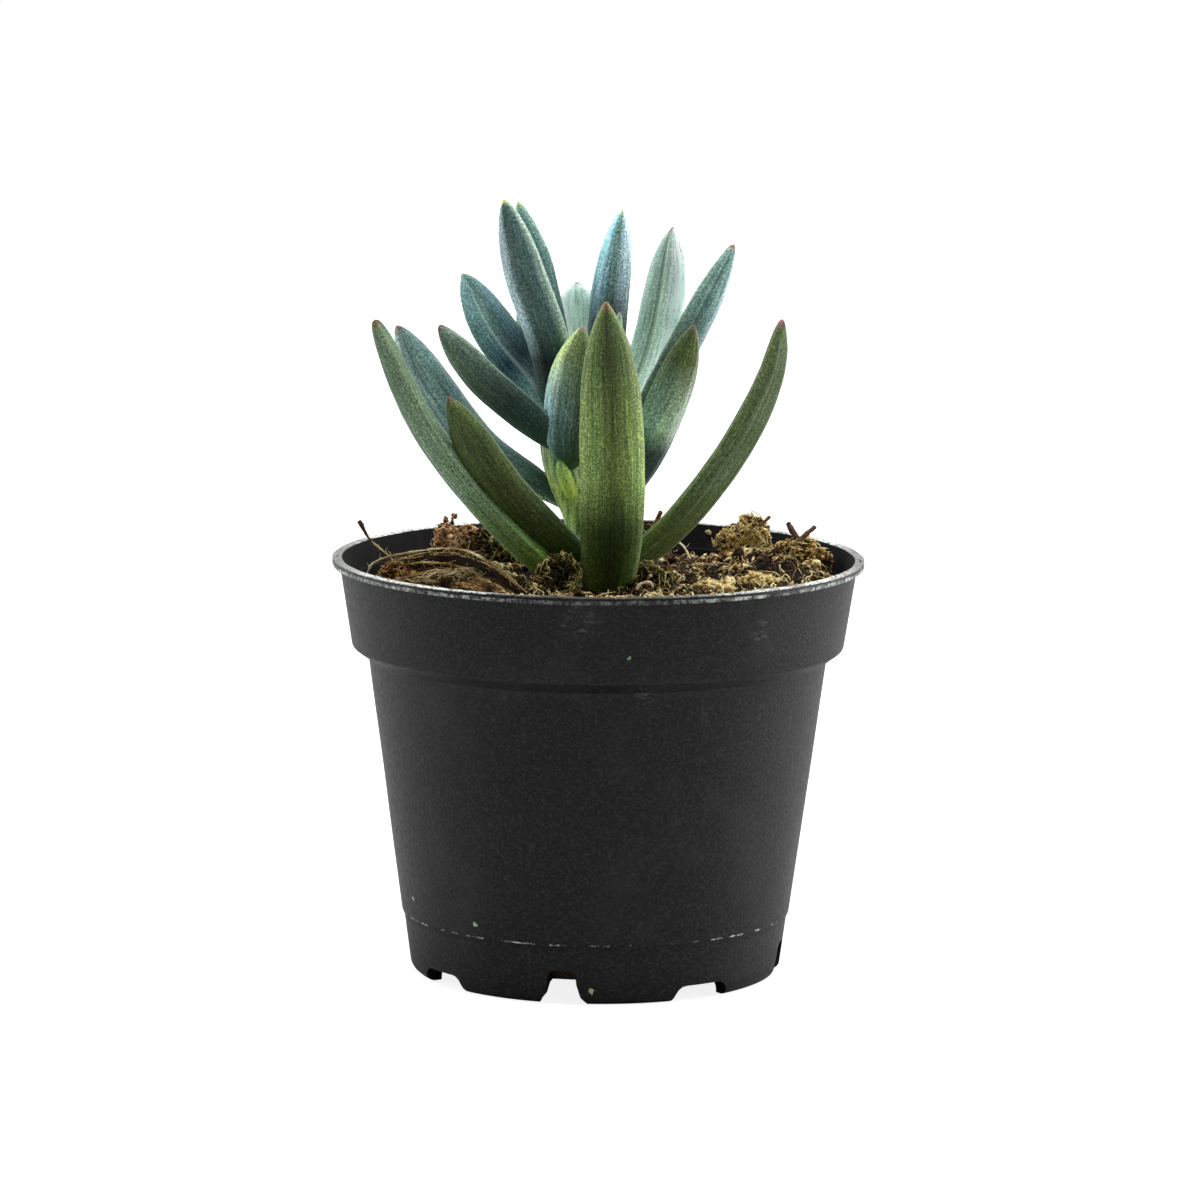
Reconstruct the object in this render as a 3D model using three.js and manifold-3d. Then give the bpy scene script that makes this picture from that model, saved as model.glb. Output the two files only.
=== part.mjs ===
// A potted blue chalk sticks plant: a plastic nursery pot, its potting mix, and a small branching
// succulent. Millimetres, +Z up, origin at the bottom centre of the pot, front towards -Y.
import * as THREE from "three";
import { mergeVertices } from "three/addons/utils/BufferGeometryUtils.js";
import Module from "manifold-3d";

const wasm = await Module();
wasm.setup();

// Pot
const POT_HEIGHT = 82.5;
const RIM_RADIUS = 52.5;
const RIM_THICKNESS = 1.5;
const RIM_EDGE_ROUND = 0.5;
const RIM_LIP_INSET = 0.2;
const WALL = 1.1;
const COLLAR_TOP_RADIUS = 51;
const COLLAR_FOOT_RADIUS = 49.0;
const COLLAR_FOOT_Z = 67;
const SHOULDER_DROP = 4.3;
const SHOULDER_ROUND = 1;
const WALL_TOP_RADIUS = 45.2;
const WALL_FOOT_RADIUS = 38.4;
const STEP_Z = 12.2;
const STEP_DROP = 1.2;
const STEP_DEPTH = 0.5;
const BAND_FOOT_RADIUS = 36.4;
const FOOT_ROUND = 2.2;
const FOOT_RING_INNER_RADIUS = 33;
const FLOOR_UNDERSIDE_Z = 3.7;
const FLOOR_THICKNESS = 1.3;
const POT_SEGMENTS = 40;
const DRAIN_COUNT = 4;
const DRAIN_ANGLE = -10;
const DRAIN_TOP_WIDTH = 5.5;
const DRAIN_FOOT_WIDTH = 9;
const DRAIN_HEIGHT = 6.9;
const DRAIN_REACH_IN = 30;
const ARCH_ANGLE = 35;
const ARCH_WIDTH = 12.5;
const ARCH_HEIGHT = 3.2;
const ARCH_REACH_IN = 32;
const NOTCH_CORNER = 1;
const CUT_REACH = 40;
const CUT_BELOW = -1;

// Potting mix and fits
const FIT_GAP = 0.3;
const MIX_WALL_GAP = 0.4;
const MIX_LEVEL = 76.4;
const MIX_EDGE_LEVEL = 74.2;
const MIX_EDGE_WIDTH = 5;
const MIX_EDGE_ROUND = 2.4;
const MIX_RING_STEP = 8;

// Plant
const LEAF_SIDES = 8;
const LEAF_STATIONS = [1, 0.965, 0.9, 0.8, 0.68, 0.52, 0.36, 0.22, 0.1, 0.02, 0];
const STEM_SIDES = 10;
const STALK_SIDES = 6;
const STALK_FACING = [0.31, -0.9, 0.22];
const STALK_END_REACH = 0.4;
const STALK_RINGS_PER_POINT = 3;

const FULL_TURN = 2 * Math.PI;
const QUARTER_TURN = Math.PI / 2;
const COLORS = {
  pot: 0x26282a,
  mix: 0x6b5238,
  fibre: 0xb49a68,
  wood: 0x4a3427,
  moss: 0x6e4632,
  stem: 0x9aa763,
  root: 0xc9b48c,
  green: 0x5b7a48,
  blue: 0x67888a,
};

const plant = new THREE.Group();

function material(color, roughness) {
  return new THREE.MeshStandardMaterial({ color, roughness, metalness: 0 });
}

function addMesh(name, geometry, color, roughness) {
  geometry.computeVertexNormals();
  const mesh = new THREE.Mesh(geometry, material(color, roughness));
  mesh.name = name;
  plant.add(mesh);
}

function solidOf(geometry) {
  const bare = geometry.clone();
  bare.deleteAttribute("normal");
  bare.deleteAttribute("uv");
  const merged = mergeVertices(bare, 1e-4);
  return new wasm.Manifold(
    new wasm.Mesh({
      numProp: 3,
      vertProperties: new Float32Array(merged.attributes.position.array),
      triVerts: new Uint32Array(merged.index.array),
    }),
  );
}

function geometryOf(solid) {
  const mesh = solid.getMesh();
  const place = new Float32Array(mesh.numVert * 3);
  for (let i = 0; i < mesh.numVert; i++) {
    place.set(mesh.vertProperties.subarray(i * mesh.numProp, i * mesh.numProp + 3), i * 3);
  }
  const geometry = new THREE.BufferGeometry();
  geometry.setAttribute("position", new THREE.BufferAttribute(place, 3));
  geometry.setIndex(new THREE.BufferAttribute(mesh.triVerts, 1));
  return geometry;
}

function curveThrough(points) {
  return new THREE.CatmullRomCurve3(
    points.map((p) => new THREE.Vector3(...p)),
    false,
    "centripetal",
  );
}

// Bends a ball along a curve: its poles become the two ends, and each of its rings takes the
// half width and half thickness that sectionAt gives there. The rings face the given direction.
function bendAlong(curve, stations, sides, facing, sectionAt) {
  const ball = new THREE.SphereGeometry(1, sides, stations.length - 1);
  const place = ball.getAttribute("position");
  const towards = new THREE.Vector3(...facing);
  for (let i = 0; i < place.count; i++) {
    const share = stations[Math.floor(i / (sides + 1))];
    const around = (FULL_TURN * (i % (sides + 1))) / sides;
    const centre = curve.getPointAt(share);
    const along = curve.getTangentAt(share);
    const front = towards.clone().addScaledVector(along, -towards.dot(along)).normalize();
    const side = new THREE.Vector3().crossVectors(along, front);
    const { halfWidth, halfThickness } = sectionAt(share);
    centre.addScaledVector(front, halfThickness * Math.cos(around));
    centre.addScaledVector(side, halfWidth * Math.sin(around));
    place.setXYZ(i, centre.x, centre.y, centre.z);
  }
  return ball;
}

// A round tapering stalk, such as a stem, a root or a twig.
function stalk(points, radii, sides, grow) {
  const curve = curveThrough(points);
  const inner = [];
  const steps = (points.length - 1) * STALK_RINGS_PER_POINT;
  for (let i = steps; i >= 0; i--) {
    inner.push(i / steps);
  }
  const stations = [1, ...inner, 0];
  const sectionAt = (share) => {
    const position = share * (radii.length - 1);
    const before = Math.min(Math.floor(position), radii.length - 2);
    const radius = THREE.MathUtils.lerp(radii[before], radii[before + 1], position - before) + grow;
    return { halfWidth: radius, halfThickness: radius };
  };
  const geometry = bendAlong(curve, stations, sides, STALK_FACING, sectionAt);
  const place = geometry.getAttribute("position");
  const endTo = (row, share, reach) => {
    const end = curve.getPointAt(share).addScaledVector(curve.getTangentAt(share), reach);
    for (let i = 0; i <= sides; i++) {
      place.setXYZ(row * (sides + 1) + i, end.x, end.y, end.z);
    }
  };
  endTo(0, 1, STALK_END_REACH * (radii.at(-1) + grow));
  endTo(stations.length - 1, 0, -STALK_END_REACH * (radii[0] + grow));
  return geometry;
}

// Nursery pot
function arcPoints(centreR, centreZ, radius, fromDegrees, toDegrees, steps) {
  const points = [];
  for (let i = 0; i <= steps; i++) {
    const angle = THREE.MathUtils.degToRad(
      THREE.MathUtils.lerp(fromDegrees, toDegrees, i / steps),
    );
    points.push([centreR + radius * Math.cos(angle), centreZ + radius * Math.sin(angle)]);
  }
  return points;
}

function spin(profile) {
  const points = profile.map(([r, z]) => new THREE.Vector2(Math.max(r, 0), z));
  return new THREE.LatheGeometry(points, POT_SEGMENTS).rotateX(QUARTER_TURN);
}

const floorTop = FLOOR_UNDERSIDE_Z + FLOOR_THICKNESS;
const wallTopZ = COLLAR_FOOT_Z - SHOULDER_DROP;
const underRim = POT_HEIGHT - RIM_THICKNESS;

function collarRadius(z) {
  return THREE.MathUtils.mapLinear(
    z,
    COLLAR_FOOT_Z,
    underRim,
    COLLAR_FOOT_RADIUS,
    COLLAR_TOP_RADIUS,
  );
}

function potOutside() {
  return [
    [FOOT_RING_INNER_RADIUS, 0],
    ...arcPoints(BAND_FOOT_RADIUS - FOOT_ROUND, FOOT_ROUND, FOOT_ROUND, -90, 0, 3),
    [WALL_FOOT_RADIUS - STEP_DEPTH, STEP_Z - STEP_DROP],
    [WALL_FOOT_RADIUS, STEP_Z],
    [WALL_TOP_RADIUS, wallTopZ],
    [WALL_TOP_RADIUS + SHOULDER_ROUND, wallTopZ + SHOULDER_ROUND / 2],
    [COLLAR_FOOT_RADIUS - SHOULDER_ROUND, wallTopZ + 2 * SHOULDER_ROUND],
    [COLLAR_FOOT_RADIUS - SHOULDER_ROUND / 2, wallTopZ + 3 * SHOULDER_ROUND],
    [COLLAR_FOOT_RADIUS, COLLAR_FOOT_Z],
    [COLLAR_TOP_RADIUS, underRim],
    [RIM_RADIUS - RIM_EDGE_ROUND, underRim],
    [RIM_RADIUS, underRim + RIM_EDGE_ROUND],
    [RIM_RADIUS, POT_HEIGHT - RIM_EDGE_ROUND],
    [RIM_RADIUS - RIM_EDGE_ROUND, POT_HEIGHT],
  ];
}

function potInside() {
  return [
    [COLLAR_TOP_RADIUS - RIM_LIP_INSET, POT_HEIGHT],
    [COLLAR_TOP_RADIUS - WALL, underRim],
    [COLLAR_FOOT_RADIUS - WALL, COLLAR_FOOT_Z],
    [WALL_TOP_RADIUS - WALL, wallTopZ + WALL / 2],
    [WALL_FOOT_RADIUS - STEP_DEPTH - WALL, STEP_Z],
    [BAND_FOOT_RADIUS - WALL, floorTop],
    [0, floorTop],
    [0, FLOOR_UNDERSIDE_Z],
    [FOOT_RING_INNER_RADIUS, FLOOR_UNDERSIDE_Z],
  ];
}

// A prism that stands on its outline's plane and reaches outwards from one radius, at an angle
// in degrees from the front of the pot.
function notchCutter(outline, reachIn, degrees) {
  const shape = new THREE.Shape(outline.map(([x, z]) => new THREE.Vector2(x, z)));
  const prism = new THREE.ExtrudeGeometry(shape, { depth: CUT_REACH, bevelEnabled: false });
  prism.rotateX(QUARTER_TURN);
  prism.translate(0, -reachIn, 0);
  prism.rotateZ(THREE.MathUtils.degToRad(degrees));
  return solidOf(prism);
}

function mirrored(right) {
  return [...right, ...right.map(([x, z]) => [-x, z]).reverse()];
}

function bellOutline() {
  const half = DRAIN_TOP_WIDTH / 2;
  const foot = DRAIN_FOOT_WIDTH / 2;
  return mirrored([
    [foot, CUT_BELOW],
    [foot, DRAIN_HEIGHT * 0.1],
    [half + NOTCH_CORNER / 2, DRAIN_HEIGHT * 0.4],
    [half, DRAIN_HEIGHT - NOTCH_CORNER],
    [half - NOTCH_CORNER, DRAIN_HEIGHT],
  ]);
}

function archOutline() {
  const half = ARCH_WIDTH / 2;
  return mirrored([
    [half, CUT_BELOW],
    [half, ARCH_HEIGHT * 0.3],
    [half - NOTCH_CORNER, ARCH_HEIGHT * 0.85],
    [half - 2 * NOTCH_CORNER, ARCH_HEIGHT],
  ]);
}

function makePot() {
  const profile = [...potOutside(), ...potInside()];
  let pot = solidOf(spin([...profile, profile[0]]));
  for (let i = 0; i < DRAIN_COUNT; i++) {
    const turn = (360 * i) / DRAIN_COUNT;
    pot = pot.subtract(notchCutter(bellOutline(), DRAIN_REACH_IN, DRAIN_ANGLE + turn));
    pot = pot.subtract(notchCutter(archOutline(), ARCH_REACH_IN, ARCH_ANGLE + turn));
  }
  return pot;
}

// Stem with its two shoots
const TRUNK = { points: [[-1.2, 0, 70], [-1.4, 0, 80], [-1, 0.5, 88]], radii: [3.6, 4.2, 3.8] };
const LEFT_SHOOT = {
  points: [[-1.6, 0.3, 84], [-4.2, 0.6, 91.5], [-7.2, 0.8, 98], [-9, 1, 105], [-8, 1.6, 114]],
  radii: [3.5, 3.2, 3, 2.8, 1.6],
};
const RIGHT_SHOOT = {
  points: [[-0.6, 0.6, 84], [2.6, 1.4, 93], [4.6, 2.4, 103], [4.4, 3.4, 112]],
  radii: [3.4, 3.2, 2.9, 1.8],
};
const ROOTS = {
  tap_root: { points: [[-1.2, 0, 68], [-0.5, 1, 52], [-2, 0, 36]], radii: [1.8, 1.2, 0.6] },
  left_root: { points: [[-4, -0.5, 71.5], [-15, -3, 62], [-24, -4, 46]], radii: [1.1, 0.8, 0.5] },
  right_root: { points: [[1.6, -0.5, 71.5], [13, -3, 63], [23, -2, 48]], radii: [1.1, 0.8, 0.5] },
  front_root: { points: [[-1, -3, 71.5], [1, -14, 61], [3, -22, 47]], radii: [1, 0.8, 0.5] },
  back_root: { points: [[-1.4, 3, 71.5], [-4, 14, 62], [-3, 24, 49]], radii: [1, 0.8, 0.5] },
};

function makeStem(grow) {
  const parts = [TRUNK, LEFT_SHOOT, RIGHT_SHOOT].map(({ points, radii }) =>
    solidOf(stalk(points, radii, STEM_SIDES, grow)),
  );
  return parts[0].add(parts[1]).add(parts[2]);
}

// Leaves. Each runs through its points from the stem to the tip, with its outer face turned
// the given way. Width and thickness are the greatest, and foot is the share of the width that
// is left where the leaf joins the stem. Widest is the share of the length at which the leaf is
// full, and a low taper makes the narrow foot longer. A higher start keeps the leaf full nearer
// to its tip, and a lower fullness rounds the tip.
const LEAF_WIDEST = 0.5;
const LEAF_TAPER = 4;
const LEAF_TIP_START = 2.8;
const LEAF_TIP_FULLNESS = 0.8;
const LEAVES = {
  front_leaf: {
    points: [[1.8, -6, 72.8], [2.6, -11.4, 91.5], [2.2, -14, 113.4], [1, -12, 134.4]],
    facing: [0, -1, -0.2],
    width: 12.7,
    thickness: 5,
    foot: 0.5,
    color: COLORS.green,
  },
  young_leaf: {
    points: [[-5.4, -1.6, 94.6], [-6.6, -4.2, 98.4], [-8, -5, 102.4]],
    facing: [0, -1, 0],
    width: 2.6,
    thickness: 1.8,
    foot: 0.8,
    color: COLORS.stem,
  },
  rounded_leaf: {
    points: [[-6, -0.8, 100.8], [-6.7, -7, 107.8], [-5.8, -9.6, 117.7], [-3.4, -8.6, 129]],
    facing: [-0.5, -1, 0],
    width: 10,
    thickness: 5,
    foot: 0.36,
    taper: 3.4,
    color: COLORS.blue,
  },
  low_left_leaf: {
    points: [[-4.2, -4, 82], [-13.4, -10, 91.5], [-20.9, -14, 100.7], [-29.4, -16, 116]],
    facing: [-0.5, -1.2, -0.3],
    width: 10,
    thickness: 5,
    foot: 0.75,
    color: COLORS.green,
  },
  outer_left_leaf: {
    points: [[-4.4, -3, 76.6], [-17.7, -8.6, 88.8], [-33.5, -11.4, 108.8], [-44, -9.6, 130.2]],
    facing: [-0.95, -0.42, -0.72],
    width: 9.9,
    thickness: 5.9,
    foot: 0.55,
    color: COLORS.green,
  },
  right_long_leaf: {
    points: [
      [1.6, -1, 78],
      [12.5, -2, 86.8],
      [19.8, -3, 95],
      [28.3, -3, 107.7],
      [33.4, -2, 119.1],
      [35.6, -1, 130],
    ],
    facing: [0.8, -0.9, -0.5],
    width: 9,
    thickness: 5,
    foot: 0.56,
    taper: 2.6,
    color: COLORS.green,
  },
  back_left_leaf: {
    points: [
      [-3.4, 1, 91.2],
      [-12.3, 3.4, 96.6],
      [-23.7, 5, 103.6],
      [-32.2, 6, 113.9],
      [-40.2, 5, 127.4],
    ],
    facing: [-0.45, 1, -0.5],
    width: 9.6,
    thickness: 4.6,
    foot: 0.25,
    taper: 1.6,
    widest: 0.6,
    color: COLORS.blue,
  },
  mid_left_leaf: {
    points: [[-8.4, -0.6, 105.2], [-13.8, -6.6, 110.7], [-23.15, -10.4, 119.4], [-31.4, -12, 129.4]],
    facing: [-0.6, -1, -0.5],
    width: 9,
    thickness: 5,
    foot: 0.6,
    color: COLORS.green,
  },
  upper_left_leaf: {
    points: [[-8.6, 1.6, 107.4], [-12.9, 4.6, 116.8], [-20.5, 6, 126], [-27.3, 5, 137.8]],
    facing: [-0.35, 1, -0.2],
    width: 9.4,
    thickness: 4.6,
    foot: 0.6,
    color: COLORS.blue,
  },
  tall_leaf: {
    points: [[-8.2, 0.8, 112.4], [-10, -2.6, 124.7], [-14.8, -4, 138.5], [-19, -3, 153.3]],
    facing: [-0.5, -1, 0],
    width: 9.2,
    thickness: 5,
    foot: 0.6,
    color: COLORS.blue,
  },
  tall_back_leaf: {
    points: [[-7.6, 2, 112.6], [-9.5, 6.6, 124.4], [-12.8, 7.6, 139.1], [-16.4, 6.6, 152]],
    facing: [0.5, 1, 0],
    width: 7.6,
    thickness: 4.2,
    foot: 0.6,
    color: COLORS.blue,
  },
  inner_back_leaf: {
    points: [[-8.6, 2, 108.6], [-10.9, 12, 116.9], [-13, 17, 127.3], [-14.1, 20, 135.6]],
    facing: [-0.2, 1, -0.4],
    width: 8.6,
    thickness: 4.6,
    foot: 0.6,
    color: COLORS.blue,
  },
  small_back_leaf: {
    points: [[-7, 2.4, 112], [-3.6, 8, 116], [-4.1, 12.6, 125], [-4.7, 13, 135.4]],
    facing: [0.2, 1, -0.2],
    width: 7.8,
    thickness: 3,
    foot: 0.6,
    widest: 0.8,
    color: COLORS.blue,
  },
  centre_leaf: {
    points: [[3.6, 3, 110.4], [1.2, 5, 117.5], [1.3, 6, 126], [2.35, 7, 138.4], [4.2, 6, 150.8]],
    facing: [0, -1, 0],
    width: 7.6,
    thickness: 4.6,
    foot: 0.5,
    color: COLORS.blue,
  },
  shoulder_leaf: {
    points: [[4.6, 1.4, 106.6], [3.4, -2.6, 114.8], [2.5, -3.6, 123.7], [3.8, -2.6, 131.4]],
    facing: [0.3, -1, 0],
    width: 4.2,
    thickness: 3.2,
    foot: 0.6,
    color: COLORS.blue,
  },
  pale_leaf: {
    points: [[5, 4, 109], [9.9, 10, 121.3], [12.7, 12, 134], [14.2, 11, 146.8]],
    facing: [0.5, 1, 0],
    width: 9.5,
    thickness: 4.4,
    foot: 0.5,
    color: COLORS.blue,
  },
  upper_right_leaf: {
    points: [[5.6, 2.6, 102.6], [12.7, 4.6, 116.8], [19.8, 6, 130.5], [26.1, 6, 143.9]],
    facing: [0.7, -0.8, -0.3],
    width: 8.7,
    thickness: 4.4,
    foot: 0.6,
    color: COLORS.blue,
  },
  mid_right_leaf: {
    points: [[4.4, 0.4, 94.6], [9.8, -3.6, 105.6], [14.6, -5, 117.8], [18.3, -4, 129]],
    facing: [0.5, -1.2, -0.3],
    width: 9.1,
    thickness: 4.8,
    foot: 0.6,
    color: COLORS.green,
  },
  upper_back_leaf: {
    points: [[4.4, 4, 103.6], [1.9, 12.6, 111], [1.2, 18.4, 119.5], [0.6, 21, 129.5]],
    facing: [0, 1, -0.4],
    width: 8.4,
    thickness: 4.8,
    foot: 0.6,
    color: COLORS.blue,
  },
  right_back_leaf: {
    points: [[4.6, 3.6, 98.4], [9.4, 12, 106.2], [12.8, 18, 115.6], [14.6, 21, 125.6]],
    facing: [0.6, 1, -0.4],
    width: 8.6,
    thickness: 4.8,
    foot: 0.6,
    color: COLORS.blue,
  },
  low_back_leaf: {
    points: [[-1.4, 2.6, 80.4], [-0.6, 12, 92], [0.5, 19, 104.8], [1.2, 22, 118.5]],
    facing: [0, 1, -0.4],
    width: 9.6,
    thickness: 5,
    foot: 0.6,
    color: COLORS.green,
  },
  left_back_leaf: {
    points: [[-3.4, 2, 81.6], [-12.7, 11, 88.6], [-21.8, 16.6, 97], [-30.4, 19, 110.6]],
    facing: [-0.8, 0.8, -0.7],
    width: 7.6,
    thickness: 4.8,
    foot: 0.6,
    color: COLORS.green,
  },
  right_low_back_leaf: {
    points: [[2.6, 3, 90.6], [7.2, 11, 98.2], [11.4, 16.6, 106.8], [14, 19, 117]],
    facing: [0.8, 0.8, -0.6],
    width: 8.4,
    thickness: 4.8,
    foot: 0.6,
    color: COLORS.green,
  },
};

function leafWidthShare(share, { foot, widest = LEAF_WIDEST, taper = LEAF_TAPER }) {
  if (share < widest) {
    return 1 - (1 - foot) * (1 - share / widest) ** taper;
  }
  const past = (share - widest) / (1 - widest);
  return Math.max(1 - past ** LEAF_TIP_START, 0) ** LEAF_TIP_FULLNESS;
}

function leafGeometry(leaf, grow) {
  const { points, facing, width, thickness } = leaf;
  const sectionAt = (share) => {
    const widthShare = leafWidthShare(share, leaf);
    const isEnd = share === 0 || share === 1;
    return {
      halfWidth: isEnd ? 0 : 0.5 * width * widthShare + grow,
      halfThickness: isEnd ? 0 : 0.5 * thickness * Math.sqrt(widthShare) + grow,
    };
  };
  return bendAlong(curveThrough(points), LEAF_STATIONS, LEAF_SIDES, facing, sectionAt);
}

// Loose pieces of the mix that stand out of its surface. A clump is a lumpy ball.
const CLUMPS = {
  moss_tuft: { centre: [-28.2, 25, 82], radii: [4.6, 3.6, 4.6], color: COLORS.moss },
  moss_tuft_side: { centre: [-20.6, 23, 80.6], radii: [3.4, 3, 3.2], color: COLORS.moss },
  coir_clump: { centre: [29.6, 28, 82.6], radii: [5.2, 4.4, 4.6], color: COLORS.fibre },
  stem_foot_clump: { centre: [-8.2, -10.2, 79.6], radii: [4.6, 2.8, 5], color: COLORS.fibre },
  pale_crumb_middle: { centre: [31, 0.4, 78], radii: [3.4, 2.2, 1.4], color: COLORS.fibre },
  pale_crumb_front: { centre: [22, -6, 77.4], radii: [3.8, 2, 1.2], color: COLORS.fibre },
  pale_crumb_left: { centre: [-24, -7, 77.8], radii: [3, 2, 1.3], color: COLORS.fibre },
  bark_chip_back: { centre: [8, 34, 77.6], radii: [4, 2.4, 1.3], color: COLORS.wood },
};
const CLUMP_LUMPS = 0.12;
const CLUMP_SIDES = 10;
const CLUMP_RINGS = 7;

function clumpGeometry({ centre, radii }, grow) {
  const ball = new THREE.SphereGeometry(1, CLUMP_SIDES, CLUMP_RINGS);
  const place = ball.getAttribute("position");
  for (let i = 0; i < place.count; i++) {
    const at = new THREE.Vector3().fromBufferAttribute(place, i);
    const lump = 1 + CLUMP_LUMPS * Math.sin(5 * at.x + 2) * Math.cos(4 * at.y + 3 * at.z + 1);
    place.setXYZ(
      i,
      centre[0] + at.x * (radii[0] * lump + grow),
      centre[1] + at.y * (radii[1] * lump + grow),
      centre[2] + at.z * (radii[2] * lump + grow),
    );
  }
  return ball;
}

const TWIGS = {
  leaning_twig: {
    points: [[-38.8, 12, 75.4], [-41, 12, 79.6], [-45.6, 12, 83.8], [-47.6, 12, 87.4]],
    radii: [0.4, 0.4, 0.4, 0.6],
    color: COLORS.wood,
  },
  clump_twig: {
    points: [[30, 28, 81], [32.6, 27.4, 85], [34.4, 27, 86.8]],
    radii: [0.5, 0.5, 0.4],
    color: COLORS.wood,
  },
  fork_twig_left: {
    points: [[40.4, 18, 77.4], [39.8, 18.4, 83], [37.8, 19.2, 86.7]],
    radii: [0.7, 0.7, 0.5],
    color: COLORS.wood,
  },
  fork_twig_right: {
    points: [[40.6, 15.4, 78], [39.9, 15.4, 83.2], [43.2, 16.4, 86.4]],
    radii: [0.6, 0.6, 0.5],
    color: COLORS.wood,
  },
  upright_twig: {
    points: [[8.6, 14.4, 75.4], [10.4, 14.2, 84], [12.3, 14, 89.6]],
    radii: [0.9, 0.9, 0.5],
    color: COLORS.wood,
  },
  straw_arch_high: {
    points: [
      [-46.6, 6, 75],
      [-44.8, 6, 79.6],
      [-38, 5, 82],
      [-28, 2, 83.4],
      [-18.6, -12, 81],
      [-12, -14.6, 75.6],
    ],
    radii: [0.6, 0.8, 0.8, 0.8, 0.8, 0.6],
    color: COLORS.fibre,
  },
  straw_arch_low: {
    points: [[-43.6, 0, 75], [-40, -0.6, 79.8], [-32, -3, 81.4], [-24, -10, 80.2], [-17, -16, 75.4]],
    radii: [0.6, 0.8, 0.8, 0.8, 0.6],
    color: COLORS.fibre,
  },
  straw_back: {
    points: [[-42.8, 14, 75.2], [-38, 12.6, 79], [-29.6, 11, 80.6], [-21, 12.6, 76]],
    radii: [0.5, 0.7, 0.7, 0.5],
    color: COLORS.fibre,
  },
  pale_root_end: {
    points: [[13.4, 36, 75.8], [14.4, 34.6, 80.6], [17, 32, 80], [19.2, 29, 76]],
    radii: [0.5, 0.5, 0.5, 0.4],
    color: COLORS.root,
  },
  curled_root_end: {
    points: [[7.4, -10.6, 74.4], [8, -10, 78.4], [10.2, -9, 78.6], [10.8, -8.6, 74.4]],
    radii: [0.6, 0.7, 0.7, 0.6],
    color: COLORS.root,
  },
};

// Potting mix
const MOUNDS = [
  { x: 0, y: 0, spread: 12, rise: 0.6 },
  { x: -28, y: 26, spread: 9, rise: 1.4 },
  { x: 37, y: 17, spread: 9, rise: 4.4 },
  { x: -26, y: -14, spread: 10, rise: 1 },
  { x: 22, y: -18, spread: 9, rise: 0.8 },
  { x: 8, y: 30, spread: 9, rise: 1 },
  { x: -8, y: -30, spread: 10, rise: -1.2 },
  { x: 40, y: -8, spread: 7, rise: -1 },
];

function mixLevel(x, y) {
  const fromWall = collarRadius(MIX_LEVEL) - WALL - Math.hypot(x, y);
  let level = THREE.MathUtils.lerp(
    MIX_EDGE_LEVEL,
    MIX_LEVEL,
    THREE.MathUtils.smoothstep(fromWall, 0, MIX_EDGE_WIDTH),
  );
  for (const { x: mx, y: my, spread, rise } of MOUNDS) {
    level += rise * Math.exp(-((x - mx) ** 2 + (y - my) ** 2) / (2 * spread ** 2));
  }
  return level;
}

function makeMix() {
  const edge = collarRadius(MIX_EDGE_LEVEL) - WALL - MIX_WALL_GAP;
  const side = potInside()
    .slice(2, 6)
    .reverse()
    .map(([r, z]) => [r - MIX_WALL_GAP, z]);
  side[0][1] += FIT_GAP;
  const surface = [
    [edge, MIX_EDGE_LEVEL],
    [edge - MIX_EDGE_ROUND, MIX_LEVEL],
    [edge - MIX_EDGE_WIDTH, MIX_LEVEL],
  ];
  for (let r = edge - MIX_RING_STEP; r > 0; r -= MIX_RING_STEP) {
    surface.push([r, MIX_LEVEL]);
  }
  const geometry = spin([[0, floorTop + FIT_GAP], ...side, ...surface, [0, MIX_LEVEL]]);
  const place = geometry.getAttribute("position");
  for (let i = 0; i < place.count; i++) {
    if (place.getZ(i) >= MIX_LEVEL) {
      place.setZ(i, mixLevel(place.getX(i), place.getY(i)));
    }
  }
  return solidOf(geometry);
}

// Assembly. Each piece gives way to those before it, with the fit gap between them, so a leaf's
// foot follows the stem that it grows from and the mix is pressed to all that stands in it.
const pot = makePot();
addMesh("nursery_pot", geometryOf(pot), COLORS.pot, 0.45);

let taken = makeStem(FIT_GAP);

function largestBody(solid) {
  const bodies = solid.decompose();
  return bodies.reduce((best, body) => (body.volume() > best.volume() ? body : best));
}

function addFitted(name, makeGeometry, color, roughness) {
  const fitted = largestBody(solidOf(makeGeometry(0)).subtract(taken));
  addMesh(name, geometryOf(fitted), color, roughness);
  taken = taken.add(solidOf(makeGeometry(FIT_GAP)));
}

addMesh("branching_stem", geometryOf(makeStem(0)), COLORS.stem, 0.6);
for (const [name, { points, radii }] of Object.entries(ROOTS)) {
  addFitted(name, (grow) => stalk(points, radii, STALK_SIDES, grow), COLORS.root, 0.9);
}
for (const [name, leaf] of Object.entries(LEAVES)) {
  addFitted(name, (grow) => leafGeometry(leaf, grow), leaf.color, 0.6);
}
for (const [name, clump] of Object.entries(CLUMPS)) {
  addFitted(name, (grow) => clumpGeometry(clump, grow), clump.color, 0.95);
}
for (const [name, { points, radii, color }] of Object.entries(TWIGS)) {
  addFitted(name, (grow) => stalk(points, radii, STALK_SIDES, grow), color, 0.9);
}
addMesh("potting_mix", geometryOf(largestBody(makeMix().subtract(taken))), COLORS.mix, 0.95);

export default plant;
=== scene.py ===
import math

import bmesh
import bpy
import numpy as np
from mathutils import Matrix, Vector


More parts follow.
